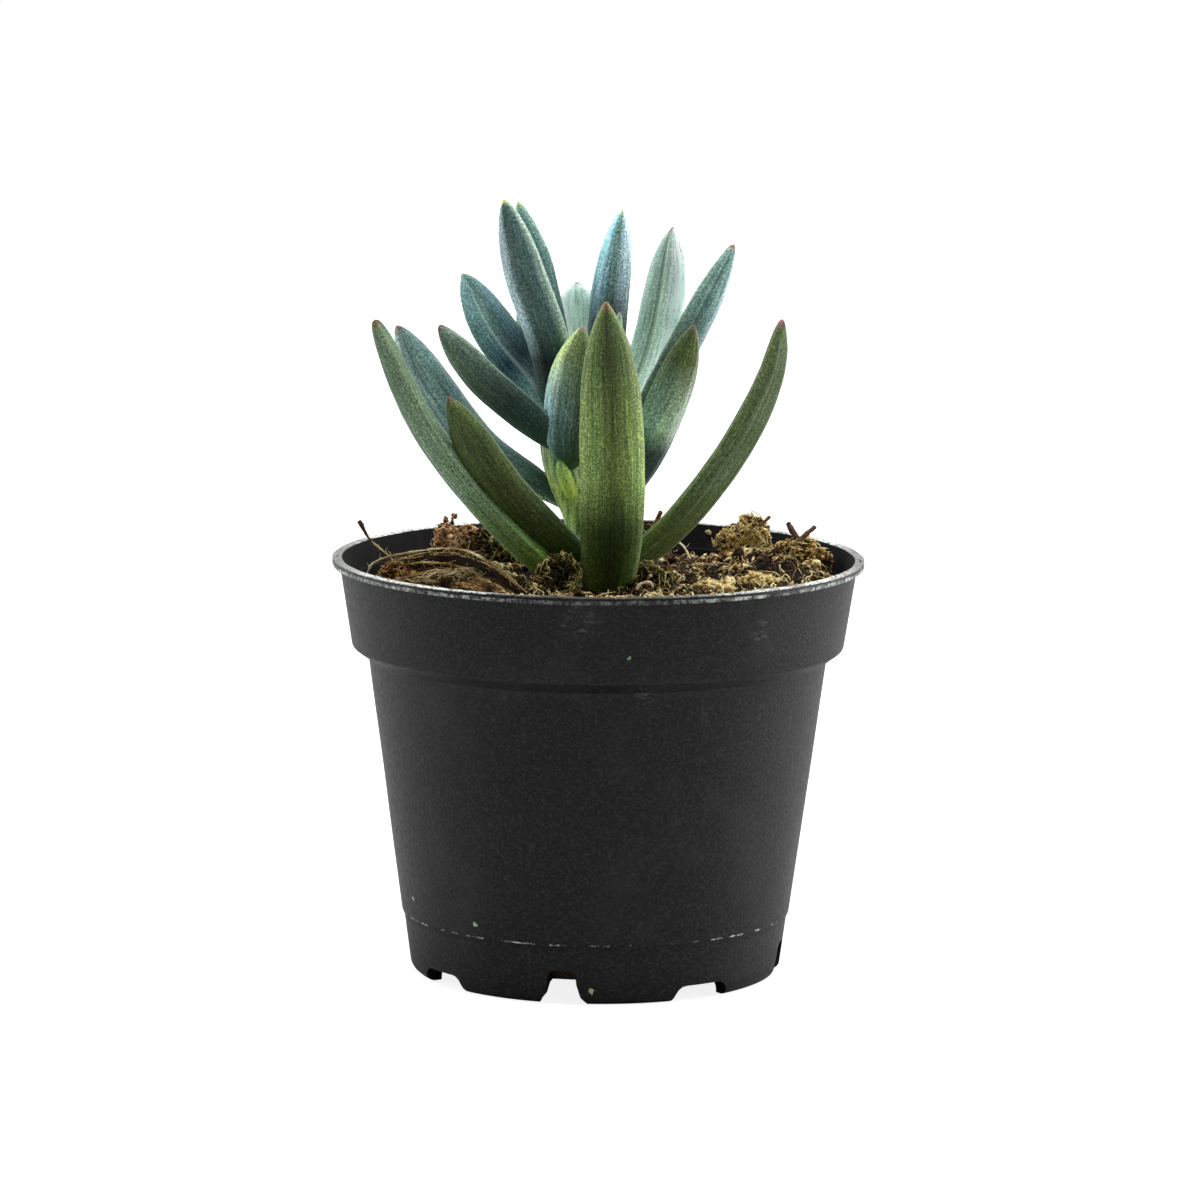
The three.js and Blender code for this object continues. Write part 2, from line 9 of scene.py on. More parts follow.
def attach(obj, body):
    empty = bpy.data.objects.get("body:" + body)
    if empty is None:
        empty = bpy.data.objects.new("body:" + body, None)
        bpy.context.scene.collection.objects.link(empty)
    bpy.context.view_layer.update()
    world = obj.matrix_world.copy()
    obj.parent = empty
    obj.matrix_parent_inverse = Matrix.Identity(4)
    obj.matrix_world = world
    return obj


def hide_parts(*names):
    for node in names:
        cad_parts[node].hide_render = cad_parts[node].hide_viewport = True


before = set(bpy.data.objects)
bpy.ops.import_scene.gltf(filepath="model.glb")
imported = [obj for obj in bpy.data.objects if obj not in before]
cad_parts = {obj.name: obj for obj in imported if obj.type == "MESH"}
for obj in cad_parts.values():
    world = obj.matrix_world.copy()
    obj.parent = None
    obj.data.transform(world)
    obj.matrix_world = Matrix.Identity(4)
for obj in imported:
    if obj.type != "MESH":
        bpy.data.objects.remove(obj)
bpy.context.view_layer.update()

# Lengths are in millimetres, in the frame's own axes: +Z up, the front towards -Y.
MM = 0.001

# Camera, worked out from the ellipses of the pot's rim and foot
CAMERA_TARGET = (0.37, 0.0, 73.8)
CAMERA_DISTANCE = 1300.0
CAMERA_ELEVATION = 9.0
CAMERA_ROLL = 0.5
CAMERA_LENS = 197.7
SENSOR_WIDTH = 36.0

# Light: the brightness of the surroundings, and the floor's glow near the pot
WORLD_LIGHT = 0.06
FLOOR_GLOW = 0.86
FLOOR_RADIUS = 2500
FLOOR_SIDES = 96
# Soft boxes: the place, width and height in metres, and the brightness
SOFTBOXES = {
    "left_box": ((-1.2, 0.3, 0.45), 1.3, 1.0, 2.5),
    "right_box": ((1.2, 0.3, 0.45), 1.3, 1.0, 4.5),
    "back_wall": ((0.0, 1.6, 0.5), 3.2, 1.8, 1.8),
    "top_box": ((0.1, -0.1, 1.4), 1.0, 1.0, 6.0),
    "front_box": ((0.3, -1.3, 0.7), 0.8, 0.8, 0.8),
}
LIGHTS_AIM = (0, 0, 0.09)

# Pot
POT_HEIGHT = 82.5
RIM_RADIUS = 52.5
RIM_THICKNESS = 1.5
RIM_BURR = 0.12
WALL = 1.1
COLLAR_TOP_RADIUS = 51.0
COLLAR_FOOT_RADIUS = 49.0
COLLAR_FOOT_Z = 67.0
WALL_TOP_RADIUS = 45.2
WALL_TOP_Z = 62.7
WALL_FOOT_RADIUS = 38.4
STEP_Z = 12.2
STEP_DROP = 1.2
STEP_DEPTH = 0.5
BAND_FOOT_RADIUS = 36.4
FOOT_ROUND = 2.2
FOOT_RING_INNER_RADIUS = 33.0
FLOOR_UNDERSIDE_Z = 3.7
FLOOR_TOP_Z = 5.0
INNER_LEDGE_Z = 77.7
INNER_LEDGE = 0.35
INNER_LEDGE_RADIUS = 49.1
POT_SIDES = 208
POT_SHARP_ANGLE = 38
DRAIN_COUNT = 4
DRAIN_ANGLE = -10
DRAIN_TOP_WIDTH = 5.5
DRAIN_FOOT_WIDTH = 9.0
DRAIN_HEIGHT = 6.9
DRAIN_REACH_IN = 30.0
ARCH_ANGLE = 35
ARCH_WIDTH = 12.5
ARCH_HEIGHT = 3.2
ARCH_REACH_IN = 32.0
CUT_REACH = 40.0

# Potting mix
MIX_GAP = 0.4
MIX_LEVEL = 76.4
MIX_EDGE_LEVEL = 74.2
MIX_EDGE_WIDTH = 5.0
MIX_EDGE_RADIUS = 48.2
MOUNDS = (
    (0, 0, 12, 0.6), (-28, 26, 9, 1.4), (37, 17, 9, 4.4), (-26, -14, 10, 1.0),
    (22, -18, 9, 0.8), (8, 30, 9, 1.0), (-8, -30, 10, -1.2), (40, -8, 7, -1.0),
)

# How much darker the hollows of a crumb are, as painted shade, and the brightest shade of a crumb or
# strand
CRUMB_HOLLOW_PAINTED_SHADE = 0.54
TONE_TOP = 1.1

FULL_TURN = 2 * math.pi


# Numbers and curves
def unit(vectors):
    return vectors / np.maximum(np.linalg.norm(vectors, axis=-1, keepdims=True), 1e-9)


def smoothstep(low, high, x):
    share = np.clip((x - low) / (high - low), 0, 1)
    return share * share * (3 - 2 * share)


def lattice(cell, seed):
    mixed = (cell * np.array([374761393, 668265263, 1440662683])).sum(-1) + seed * 974634777
    mixed = (mixed ^ (mixed >> 13)) * 1274126177
    return ((mixed ^ (mixed >> 16)) & 0xFFFF) / 32767.5 - 1


def noise(points, size, seed):
    """Smooth noise from -1 to 1, with features of about the given size."""
    scaled = np.asarray(points, float) / size
    cell = np.floor(scaled).astype(np.int64)
    part = scaled - cell
    part = part * part * (3 - 2 * part)
    total = 0
    for corner in np.ndindex(2, 2, 2):
        weight = np.where(np.array(corner), part, 1 - part).prod(-1)
        total = total + weight * lattice(cell + corner, seed)
    return total


def layered_noise(points, size, seed, layers=3):
    total = 0
    for layer in range(layers):
        total = total + noise(points, size / 2**layer, seed + layer) / 2**layer
    return total


def curve_through(points, shares):
    """Places and directions at shares of the length of a centripetal Catmull-Rom curve."""
    known = np.array(points, float)
    known = np.vstack([2 * known[0] - known[1], known, 2 * known[-1] - known[-2]])
    dense = []
    for i in range(1, len(known) - 2):
        p0, p1, p2, p3 = known[i - 1 : i + 3]
        d0, d1, d2 = (np.linalg.norm(b - a) ** 0.5 for a, b in ((p0, p1), (p1, p2), (p2, p3)))
        leave = ((p1 - p0) / d0 - (p2 - p0) / (d0 + d1) + (p2 - p1) / d1) * d1
        arrive = ((p2 - p1) / d1 - (p3 - p1) / (d1 + d2) + (p3 - p2) / d2) * d1
        t = np.linspace(0, 1, 60, endpoint=i == len(known) - 3)[:, None]
        dense.append(
            p1
            + leave * t
            + (-3 * p1 + 3 * p2 - 2 * leave - arrive) * t**2
            + (2 * p1 - 2 * p2 + leave + arrive) * t**3
        )
    dense = np.vstack(dense)
    length = np.concatenate([[0], np.cumsum(np.linalg.norm(np.diff(dense, axis=0), axis=1))])
    at = np.asarray(shares) * length[-1]
    places = np.stack([np.interp(at, length, dense[:, k]) for k in range(3)], -1)
    return places, unit(np.gradient(places, axis=0))


# Meshes
class Build:
    """Gathers the points, faces and point values of one mesh."""

    def __init__(self):
        self.points = []
        self.faces = []
        self.values = {}
        self.count = 0

    def add(self, points, face_sets, **values):
        points = np.asarray(points, float).reshape(-1, 3)
        for faces in face_sets:
            self.faces += (np.asarray(faces) + self.count).tolist()
        for key, value in values.items():
            self.values.setdefault(key, []).append(np.broadcast_to(value, len(points)).astype(float))
        self.points.append(points)
        self.count += len(points)

    def mesh_object(self, name, smooth=True):
        mesh = bpy.data.meshes.new(name)
        mesh.from_pydata((np.vstack(self.points) * MM).tolist(), [], self.faces)
        for key, value in self.values.items():
            layer = mesh.attributes.new(key, "FLOAT", "POINT")
            layer.data.foreach_set("value", np.concatenate(value).astype(np.float32))
        mesh.polygons.foreach_set("use_smooth", [smooth] * len(mesh.polygons))
        obj = bpy.data.objects.new(name, mesh)
        bpy.context.scene.collection.objects.link(obj)
        return obj


def place_piece(obj, material, slot, *nodes):
    obj.data.materials.append(material)
    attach(obj, "root")
    if nodes:
        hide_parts(*nodes)
    return obj


def grid_faces(rows, sides):
    """The quads of rings that close on themselves, their fronts facing out."""
    index = np.arange(rows * sides).reshape(rows, sides)
    after = np.roll(index, -1, axis=1)
    return np.stack([index[:-1], after[:-1], after[1:], index[1:]], -1).reshape(-1, 4)


def pole_faces(rows, sides):
    """Triangles from the first and last ring to two pole points that follow the rings."""
    ring = np.arange(sides)
    after = np.roll(ring, -1)
    first = np.stack([np.full(sides, rows * sides), after, ring], -1)
    start = (rows - 1) * sides
    last = np.stack([np.full(sides, rows * sides + 1), start + ring, start + after], -1)
    return np.vstack([first, last])


def add_rings(build, rings, poles, **values):
    """A closed skin through rings (rows, sides, 3) between two poles."""
    rows, sides = rings.shape[:2]
    points = np.vstack([rings.reshape(-1, 3), poles])
    full = {}
    for key, value in values.items():
        value = np.broadcast_to(value, (rows, sides))
        full[key] = np.concatenate([value.ravel(), [value[0].mean(), value[-1].mean()]])
    build.add(points, [grid_faces(rows, sides), pole_faces(rows, sides)], **full)


def add_strands(build, paths, radii, sides, flat=1.0, **values):
    """Closed tubes along many paths (count, rows, 3) at once. A value holds one number a strand."""
    count, rows = paths.shape[:2]
    along = unit(np.gradient(paths, axis=1))
    middle = paths[:, rows // 2]
    bend = np.cross(middle - paths[:, 0], paths[:, -1] - middle) + np.array([1e-3, 2e-3, 3e-3])
    first = np.broadcast_to(bend[:, None], paths.shape)
    first = unit(first - (first * along).sum(-1, keepdims=True) * along)
    second = np.cross(along, first)
    angle = (FULL_TURN * np.arange(sides) / sides)[:, None]
    around = np.cos(angle) * first[:, :, None] + flat * np.sin(angle) * second[:, :, None]
    rings = paths[:, :, None] + np.asarray(radii)[:, :, None, None] * around
    index = np.arange(count * rows * sides).reshape(count, rows, sides)
    after = np.roll(index, -1, axis=2)
    quads = np.stack([index[:, :-1], after[:, :-1], after[:, 1:], index[:, 1:]], -1)
    caps = np.concatenate([index[:, 0, ::-1], index[:, -1]])
    full = {k: np.repeat(np.broadcast_to(v, count), rows * sides) for k, v in values.items()}
    build.add(rings, [quads.reshape(-1, 4), caps], **full)


def ball_template(level):
    ball = bmesh.new()
    bmesh.ops.create_icosphere(ball, subdivisions=level, radius=1)
    points = np.array([v.co for v in ball.verts])
    faces = np.array([[v.index for v in f.verts] for f in ball.faces])
    ball.free()
    return points, faces


def random_turns(random, count):
    q = unit(random.normal(size=(count, 4))).T
    w, x, y, z = q
    return np.stack(
        [
            1 - 2 * (y * y + z * z), 2 * (x * y - z * w), 2 * (x * z + y * w),
            2 * (x * y + z * w), 1 - 2 * (x * x + z * z), 2 * (y * z - x * w),
            2 * (x * z - y * w), 2 * (y * z + x * w), 1 - 2 * (x * x + y * y),
        ],
        -1,
    ).reshape(count, 3, 3)


def add_crumbs(build, random, centres, radii, level=2, rough=0.6, tone=0.5):
    """Crumpled grains at the centres, each with its own three radii; their hollows are darker, as painted
    shade.
    """
    points, faces = ball_template(level)
    count = len(centres)
    seeds = random.uniform(-50, 50, (count, 1, 3))
    dent = 0.75 * noise(points * 1.2 + seeds, 0.8, 5) + 0.5 * noise(points * 1.2 + seeds, 0.36, 6)
    shaped = points * (1 + rough * dent)[..., None] * np.asarray(radii)[:, None]
    turns = random_turns(random, count)
    shaped = np.einsum("nij,nkj->nki", turns, shaped) + np.asarray(centres)[:, None]
    start = (np.arange(count) * len(points))[:, None, None]
    tones = np.broadcast_to(tone, count)[:, None] + CRUMB_HOLLOW_PAINTED_SHADE * rough * dent
    build.add(shaped, [(faces + start).reshape(-1, 3)], tone=np.clip(tones, 0, TONE_TOP).ravel())


# Materials
class Surface:
    """A node material round one Principled shader, with short calls for the nodes it needs."""

    def __init__(self, name, **constants):
        self.material = bpy.data.materials.new(name)
        self.material.use_nodes = True
        self.tree = self.material.node_tree
        self.shader = self.tree.nodes["Principled BSDF"]
        for socket, value in constants.items():
            self.shader.inputs[socket.replace("_", " ")].default_value = value

    def put(self, socket, value):
        if isinstance(value, bpy.types.NodeSocket):
            self.tree.links.new(value, socket)
        elif hasattr(value, "__len__") and len(value) == 3 and socket.type == "RGBA":
            socket.default_value = (*value, 1)
        else:
            socket.default_value = value

    def set(self, socket, value):
        self.put(self.shader.inputs[socket], value)

    def attribute(self, name):
        node = self.tree.nodes.new("ShaderNodeAttribute")
        node.attribute_name = name
        return node.outputs["Fac"]

    def position(self):
        return self.tree.nodes.new("ShaderNodeTexCoord").outputs["Object"]

    def math(self, operation, a, b=0.0, clamp=False):
        node = self.tree.nodes.new("ShaderNodeMath")
        node.operation = operation
        node.use_clamp = clamp
        self.put(node.inputs[0], a)
        self.put(node.inputs[1], b)
        return node.outputs[0]

    def times(self, first, *others):
        for other in others:
            first = self.math("MULTIPLY", first, other)
        return first

    def plus(self, a, b):
        return self.math("ADD", a, b)

    def minus(self, a, b):
        return self.math("SUBTRACT", a, b)

    def span(self, value, low, high, to_low=0.0, to_high=1.0):
        """The value's smooth rise between low and high, as a number from to_low to to_high."""
        node = self.tree.nodes.new("ShaderNodeMapRange")
        node.interpolation_type = "SMOOTHSTEP"
        for socket, number in zip(node.inputs, (value, low, high, to_low, to_high)):
            self.put(socket, number)
        return node.outputs[0]

    def vector(self, x, y, z):
        node = self.tree.nodes.new("ShaderNodeCombineXYZ")
        for socket, value in zip(node.inputs, (x, y, z)):
            self.put(socket, value)
        return node.outputs[0]

    def parts(self, vector):
        node = self.tree.nodes.new("ShaderNodeSeparateXYZ")
        self.put(node.inputs[0], vector)
        return node.outputs

    def distance(self, a, b):
        node = self.tree.nodes.new("ShaderNodeVectorMath")
        node.operation = "DISTANCE"
        self.put(node.inputs[0], a)
        self.put(node.inputs[1], b)
        return node.outputs["Value"]

    def stretched(self, vector, x, y, z):
        node = self.tree.nodes.new("ShaderNodeVectorMath")
        node.operation = "MULTIPLY"
        self.put(node.inputs[0], vector)
        node.inputs[1].default_value = (x, y, z)
        return node.outputs[0]

    def noise(self, vector, scale, detail=2.0, roughness=0.5):
        node = self.tree.nodes.new("ShaderNodeTexNoise")
        self.put(node.inputs["Vector"], vector)
        node.inputs["Scale"].default_value = scale
        node.inputs["Detail"].default_value = detail
        node.inputs["Roughness"].default_value = roughness
        return node.outputs["Fac"]

    def mix(self, factor, a, b, blend="MIX"):
        node = self.tree.nodes.new("ShaderNodeMix")
        node.data_type = "RGBA"
        node.blend_type = blend
        self.put(node.inputs[0], factor)
        self.put(node.inputs[6], a)
        self.put(node.inputs[7], b)
        return node.outputs[2]

    def tint(self, color, factor, tint):
        """The colour, multiplied by the tint as far as the factor says."""
        return self.mix(factor, color, self.mix(1.0, color, tint, "MULTIPLY"))

    def grained(self, color, grain, fields, **strengths):
        """The colour with each row of a grain table worked into it."""
        for name, low, high, strength, tint in grain:
            strength *= strengths.get(name, 1)
            color = self.tint(color, self.span(fields[name], low, high, 0.0, strength), tint)
        return color

    def fade(self, factor, a, b):
        """A number between a and b."""
        node = self.tree.nodes.new("ShaderNodeMapRange")
        for socket, number in zip(node.inputs, (factor, 0.0, 1.0, a, b)):
            self.put(socket, number)
        return node.outputs[0]

    def ramp(self, factor, stops):
        node = self.tree.nodes.new("ShaderNodeValToRGB")
        self.put(node.inputs[0], factor)
        elements = node.color_ramp.elements
        while len(elements) < len(stops):
            elements.new(0.5)
        for element, (place, color) in zip(elements, stops):
            element.position = place
            element.color = (*color, 1)
        return node.outputs[0]

    def bump(self, height, distance, strength=1.0, under=None):
        node = self.tree.nodes.new("ShaderNodeBump")
        node.inputs["Strength"].default_value = strength
        node.inputs["Distance"].default_value = distance * MM
        self.put(node.inputs["Height"], height)
        if under is not None:
            self.put(node.inputs["Normal"], under)
        return node.outputs[0]


# Camera, light and floor
def make_camera():
    up_angle = math.radians(CAMERA_ELEVATION)
    roll = math.radians(CAMERA_ROLL)
    forward = Vector((0, math.cos(up_angle), -math.sin(up_angle)))
    level_up = Vector((0, math.sin(up_angle), math.cos(up_angle)))
    level_right = Vector((1, 0, 0))
    right = level_right * math.cos(roll) + level_up * math.sin(roll)
    up = level_up * math.cos(roll) - level_right * math.sin(roll)
    camera = bpy.data.objects.new("camera", bpy.data.cameras.new("camera"))
    camera.data.lens = CAMERA_LENS
    camera.data.sensor_width = SENSOR_WIDTH
    camera.data.clip_start = 0.05
    camera.data.clip_end = 50
    turn = Matrix((right, up, -forward)).transposed().to_4x4()
    place = (Vector(CAMERA_TARGET) - forward * CAMERA_DISTANCE) * MM
    camera.matrix_world = Matrix.Translation(place) @ turn
    bpy.context.scene.collection.objects.link(camera)
    bpy.context.scene.camera = camera


def add_softbox(name, place, width, height, brightness):
    """An area light that faces the plant and that the camera doesn't see."""
    light = bpy.data.lights.new(name, "AREA")
    light.shape = "RECTANGLE"
    light.size = width
    light.size_y = height
    light.energy = brightness * math.pi * width * height
    box = bpy.data.objects.new(name, light)
    away = Vector(place) - Vector(LIGHTS_AIM)
    box.matrix_world = Matrix.Translation(place) @ away.to_track_quat("Z", "Y").to_matrix().to_4x4()
    box.visible_camera = False
    bpy.context.scene.collection.objects.link(box)


def make_world():
    world = bpy.data.worlds.new("studio")
    world.use_nodes = True
    tree = world.node_tree
    seen = tree.nodes.new("ShaderNodeLightPath")
    amount = tree.nodes.new("ShaderNodeMapRange")
    amount.inputs["To Min"].default_value = WORLD_LIGHT
    amount.inputs["To Max"].default_value = 1.0
    tree.links.new(seen.outputs["Is Camera Ray"], amount.inputs["Value"])
    tree.links.new(amount.outputs[0], tree.nodes["Background"].inputs["Strength"])
    tree.nodes["Background"].inputs["Color"].default_value = (1, 1, 1, 1)
    bpy.context.scene.world = world


def make_floor():
    """A pale floor that glows a little to the camera, so that only a faint shadow is left."""
    surface = Surface("floor_white", Roughness=0.8, Specular_IOR_Level=0.1)
    mottle = surface.noise(surface.position(), 6.0)
    surface.set("Base Color", surface.mix(mottle, (0.4, 0.4, 0.41), (0.44, 0.44, 0.44)))
    seen = surface.tree.nodes.new("ShaderNodeLightPath").outputs["Is Camera Ray"]
    away = surface.distance(surface.position(), (0, 0, 0))
    surface.set("Emission Color", (1, 1, 1, 1))
    glow = surface.span(away, 0.06, 0.3, FLOOR_GLOW, 1.0)
    surface.set("Emission Strength", surface.times(seen, glow))
    angle = FULL_TURN * np.arange(FLOOR_SIDES) / FLOOR_SIDES
    ring = np.stack([np.cos(angle), np.sin(angle), np.zeros(FLOOR_SIDES)], -1)
    build = Build()
    build.add(ring * FLOOR_RADIUS, [[np.arange(FLOOR_SIDES)]])
    floor = build.mesh_object("floor", smooth=False)
    floor.data.materials.append(surface.material)


# Nursery pot
def rounded(corners, steps=5):
    """The outline through (r, z, radius) corners, each rounded by an arc of its radius."""
    points = [np.array(corners[0][:2], float)]
    for i in range(1, len(corners) - 1):
        before, here, after = (np.array(c[:2], float) for c in corners[i - 1 : i + 2])
        radius = corners[i][2]
        a, b = unit(before - here), unit(after - here)
        half = 0.5 * math.acos(float(np.clip(a @ b, -1, 1)))
        reach = radius / max(math.tan(half), 1e-6)
        if radius <= 0 or half > 1.56:
            points.append(here)
            continue
        start, end = here + a * reach, here + b * reach
        middle = here + unit(a + b) * radius / math.sin(half)
        for k in range(steps + 1):
            ray = unit((start - middle) * (1 - k / steps) + (end - middle) * (k / steps))
            points.append(middle + ray * radius)
    points.append(np.array(corners[-1][:2], float))
    return np.array(points)


def filled(outline, longest):
    """The outline with points added so that no stretch is longer than the given length."""
    points = [outline[0]]
    for a, b in zip(outline[:-1], outline[1:]):
        pieces = max(1, math.ceil(np.linalg.norm(b - a) / longest))
        points += [a + (b - a) * k / pieces for k in range(1, pieces + 1)]
    return np.array(points)


def pot_outline():
    under_rim = POT_HEIGHT - RIM_THICKNESS
    rim = RIM_RADIUS - RIM_BURR
    return rounded([
        (0, FLOOR_UNDERSIDE_Z, 0),
        (FOOT_RING_INNER_RADIUS, FLOOR_UNDERSIDE_Z, 0.4),
        (FOOT_RING_INNER_RADIUS, 0, 0.2),
        (BAND_FOOT_RADIUS, 0, FOOT_ROUND),
        (WALL_FOOT_RADIUS - STEP_DEPTH, STEP_Z - STEP_DROP, 0.25),
        (WALL_FOOT_RADIUS, STEP_Z, 0.3),
        (WALL_TOP_RADIUS, WALL_TOP_Z, 1.6),
        (COLLAR_FOOT_RADIUS - 0.5, COLLAR_FOOT_Z - 1.9, 1.0),
        (COLLAR_TOP_RADIUS, under_rim, 0.3),
        (rim, under_rim, 0.15),
        (rim, POT_HEIGHT, 0.2),
        (rim - 0.7, POT_HEIGHT - 0.05, 0.1),
        (COLLAR_TOP_RADIUS - 0.4, POT_HEIGHT, 0.25),
        (INNER_LEDGE_RADIUS, INNER_LEDGE_Z, 0.1),
        (INNER_LEDGE_RADIUS - INNER_LEDGE, INNER_LEDGE_Z - INNER_LEDGE, 0.1),
        (COLLAR_FOOT_RADIUS - WALL, COLLAR_FOOT_Z, 0.8),
        (WALL_TOP_RADIUS - WALL, WALL_TOP_Z + WALL / 2, 0.8),
        (WALL_FOOT_RADIUS - STEP_DEPTH - WALL, STEP_Z, 0.5),
        (BAND_FOOT_RADIUS - WALL, FLOOR_TOP_Z, 1.0),
        (0, FLOOR_TOP_Z, 0),
    ])


def mirrored(right):
    return right + [(-x, z) for x, z in reversed(right)]


def bell_outline():
    half, foot = DRAIN_TOP_WIDTH / 2, DRAIN_FOOT_WIDTH / 2
    return mirrored([
        (foot + 0.6, -1), (foot, 0.5), (foot - 0.9, 1.6), (half + 0.5, 2.8), (half + 0.1, 4.2),
        (half, DRAIN_HEIGHT - 1.3), (half - 0.35, DRAIN_HEIGHT - 0.4), (half - 1.2, DRAIN_HEIGHT),
    ])


def arch_outline():
    half = ARCH_WIDTH / 2
    return mirrored([
        (half, -1), (half, 0.6), (half - 0.2, 1.5), (half - 0.7, 2.4), (half - 1.5, 3.0),
        (half - 2.5, ARCH_HEIGHT),
    ])


def notch_cutter(outline, reach_in, degrees):
    """A prism that reaches out from one radius, at an angle from the pot's front."""
    count = len(outline)
    near = [(x, -reach_in, z) for x, z in outline]
    far = [(x, -reach_in - CUT_REACH, z) for x, z in outline]
    ring = np.arange(count)
    after = np.roll(ring, -1)
    sides = np.stack([ring, ring + count, after + count, after], -1)
    build = Build()
    build.add(near + far, [sides[:, ::-1], [ring[::-1]], [ring + count]])
    cutter = build.mesh_object("cutter", smooth=False)
    cutter.data.transform(Matrix.Rotation(math.radians(degrees), 4, "Z"))
    return cutter


def make_pot():
    outline = filled(pot_outline(), 3.0)
    radius, height = outline[1:-1, 0], outline[1:-1, 1]
    angle = FULL_TURN * np.arange(POT_SIDES) / POT_SIDES
    grid_r = np.repeat(radius[:, None], POT_SIDES, 1)
    grid_z = np.repeat(height[:, None], POT_SIDES, 1)
    grid_a = np.repeat(angle[None], len(radius), 0)

    def at(r, a, z):
        return np.stack([r * np.cos(a), r * np.sin(a), z], -1)

    # Flash and nicks on the rim's edge, and a wall that isn't quite true
    on_rim = smoothstep(0.3, 0, RIM_RADIUS - RIM_BURR - grid_r) * (grid_z > POT_HEIGHT - 2)
    place = at(grid_r, grid_a, grid_z)
    grain = layered_noise(place, 1.6, 11, 3)
    burr = np.clip(grain, -1.0, 1.0) * 0.12
    for side in (math.pi, 0.0):
        off = np.abs((grid_a - side + math.pi) % FULL_TURN - math.pi) * RIM_RADIUS
        burr = burr + 0.25 * noise(place, 0.9, 12) * smoothstep(5, 1.5, off)
    grid_r = grid_r + on_rim * np.clip(burr, -0.25, RIM_BURR)
    true = (grid_z > FLOOR_TOP_Z + 2) & (grid_z < POT_HEIGHT - 2.5)
    grid_r = grid_r + true * 0.05 * noise(place, 14, 13)
    top = (grid_z > POT_HEIGHT - 0.6) & (grid_r > COLLAR_TOP_RADIUS - 1)
    grid_z = grid_z - top * 0.12 * (0.5 + 0.5 * layered_noise(place, 2.5, 14, 2))
    build = Build()
    poles = [(0, 0, FLOOR_UNDERSIDE_Z), (0, 0, FLOOR_TOP_Z)]
    add_rings(build, at(grid_r, grid_a, grid_z), poles)
    pot = build.mesh_object("pot_moulding")
    cutters = []
    for k in range(DRAIN_COUNT):
        turn = 360 * k / DRAIN_COUNT
        cutters.append(notch_cutter(bell_outline(), DRAIN_REACH_IN, DRAIN_ANGLE + turn))
        cutters.append(notch_cutter(arch_outline(), ARCH_REACH_IN, ARCH_ANGLE + turn))
    for cutter in cutters:
        cut = pot.modifiers.new("notch", "BOOLEAN")
        cut.operation = "DIFFERENCE"
        cut.solver = "EXACT"
        cut.object = cutter
    bake_modifiers(pot)
    for cutter in cutters:
        bpy.data.objects.remove(cutter)
    pot.data.polygons.foreach_set("use_smooth", [True] * len(pot.data.polygons))
    pot.data.set_sharp_from_angle(angle=math.radians(POT_SHARP_ANGLE))
    place_piece(pot, pot_material(), "pot_plastic", "nursery_pot")
    pot.data.materials.append(pot_inside_material())
    for face in pot.data.polygons:
        x, y, z = face.center / MM
        facing_in = face.normal.x * x + face.normal.y * y < 0
        between = FLOOR_TOP_Z < z < POT_HEIGHT - 0.35
        if facing_in and between and math.hypot(x, y) < COLLAR_TOP_RADIUS:
            face.material_index = 1


def bake_modifiers(obj):
    bpy.context.view_layer.update()
    shown = obj.evaluated_get(bpy.context.evaluated_depsgraph_get())
    mesh = bpy.data.meshes.new_from_object(shown)
    obj.modifiers.clear()
    obj.data = mesh


# Specks and scuffs on the outside: degrees from the front, height, radius, size, colour of a speck
POT_SPECKS = (
    (-67, 16.5, 38.4, 0.9, (0.75, 0.76, 0.74)),
    (-37, 14.8, 38.4, 0.8, (0.35, 0.6, 0.28)),
    (-1, 3.0, 37.2, 0.9, (0.7, 0.64, 0.36)),
    (7, 70.4, 49.5, 0.6, (0.2, 0.4, 0.16)),
)
POT_SCUFFS = (
    (-4, 77.7, 50, 5.0), (39, 74.0, 50, 3.5), (62, 68.4, 50, 2.5), (12, 62.0, 47, 4.0),
    (-24, 40.0, 47, 4.0),
)
POT_BLACK = (0.0002, 0.0002, 0.0003)
POT_GRAIN = (0.023, 0.0235, 0.0255)
SCUFF_GREY = (0.16, 0.17, 0.17)
# The pale of the lip's dust and of its painted reflection
LIP_DUST_AND_REFLECTION_WHITE = (0.96, 1, 0.94)


def place_on_pot(degrees, height, radius):
    """The place in metres at an angle from the pot's front."""
    angle = math.radians(degrees)
    return tuple(MM * v for v in (radius * math.sin(angle), -radius * math.cos(angle), height))


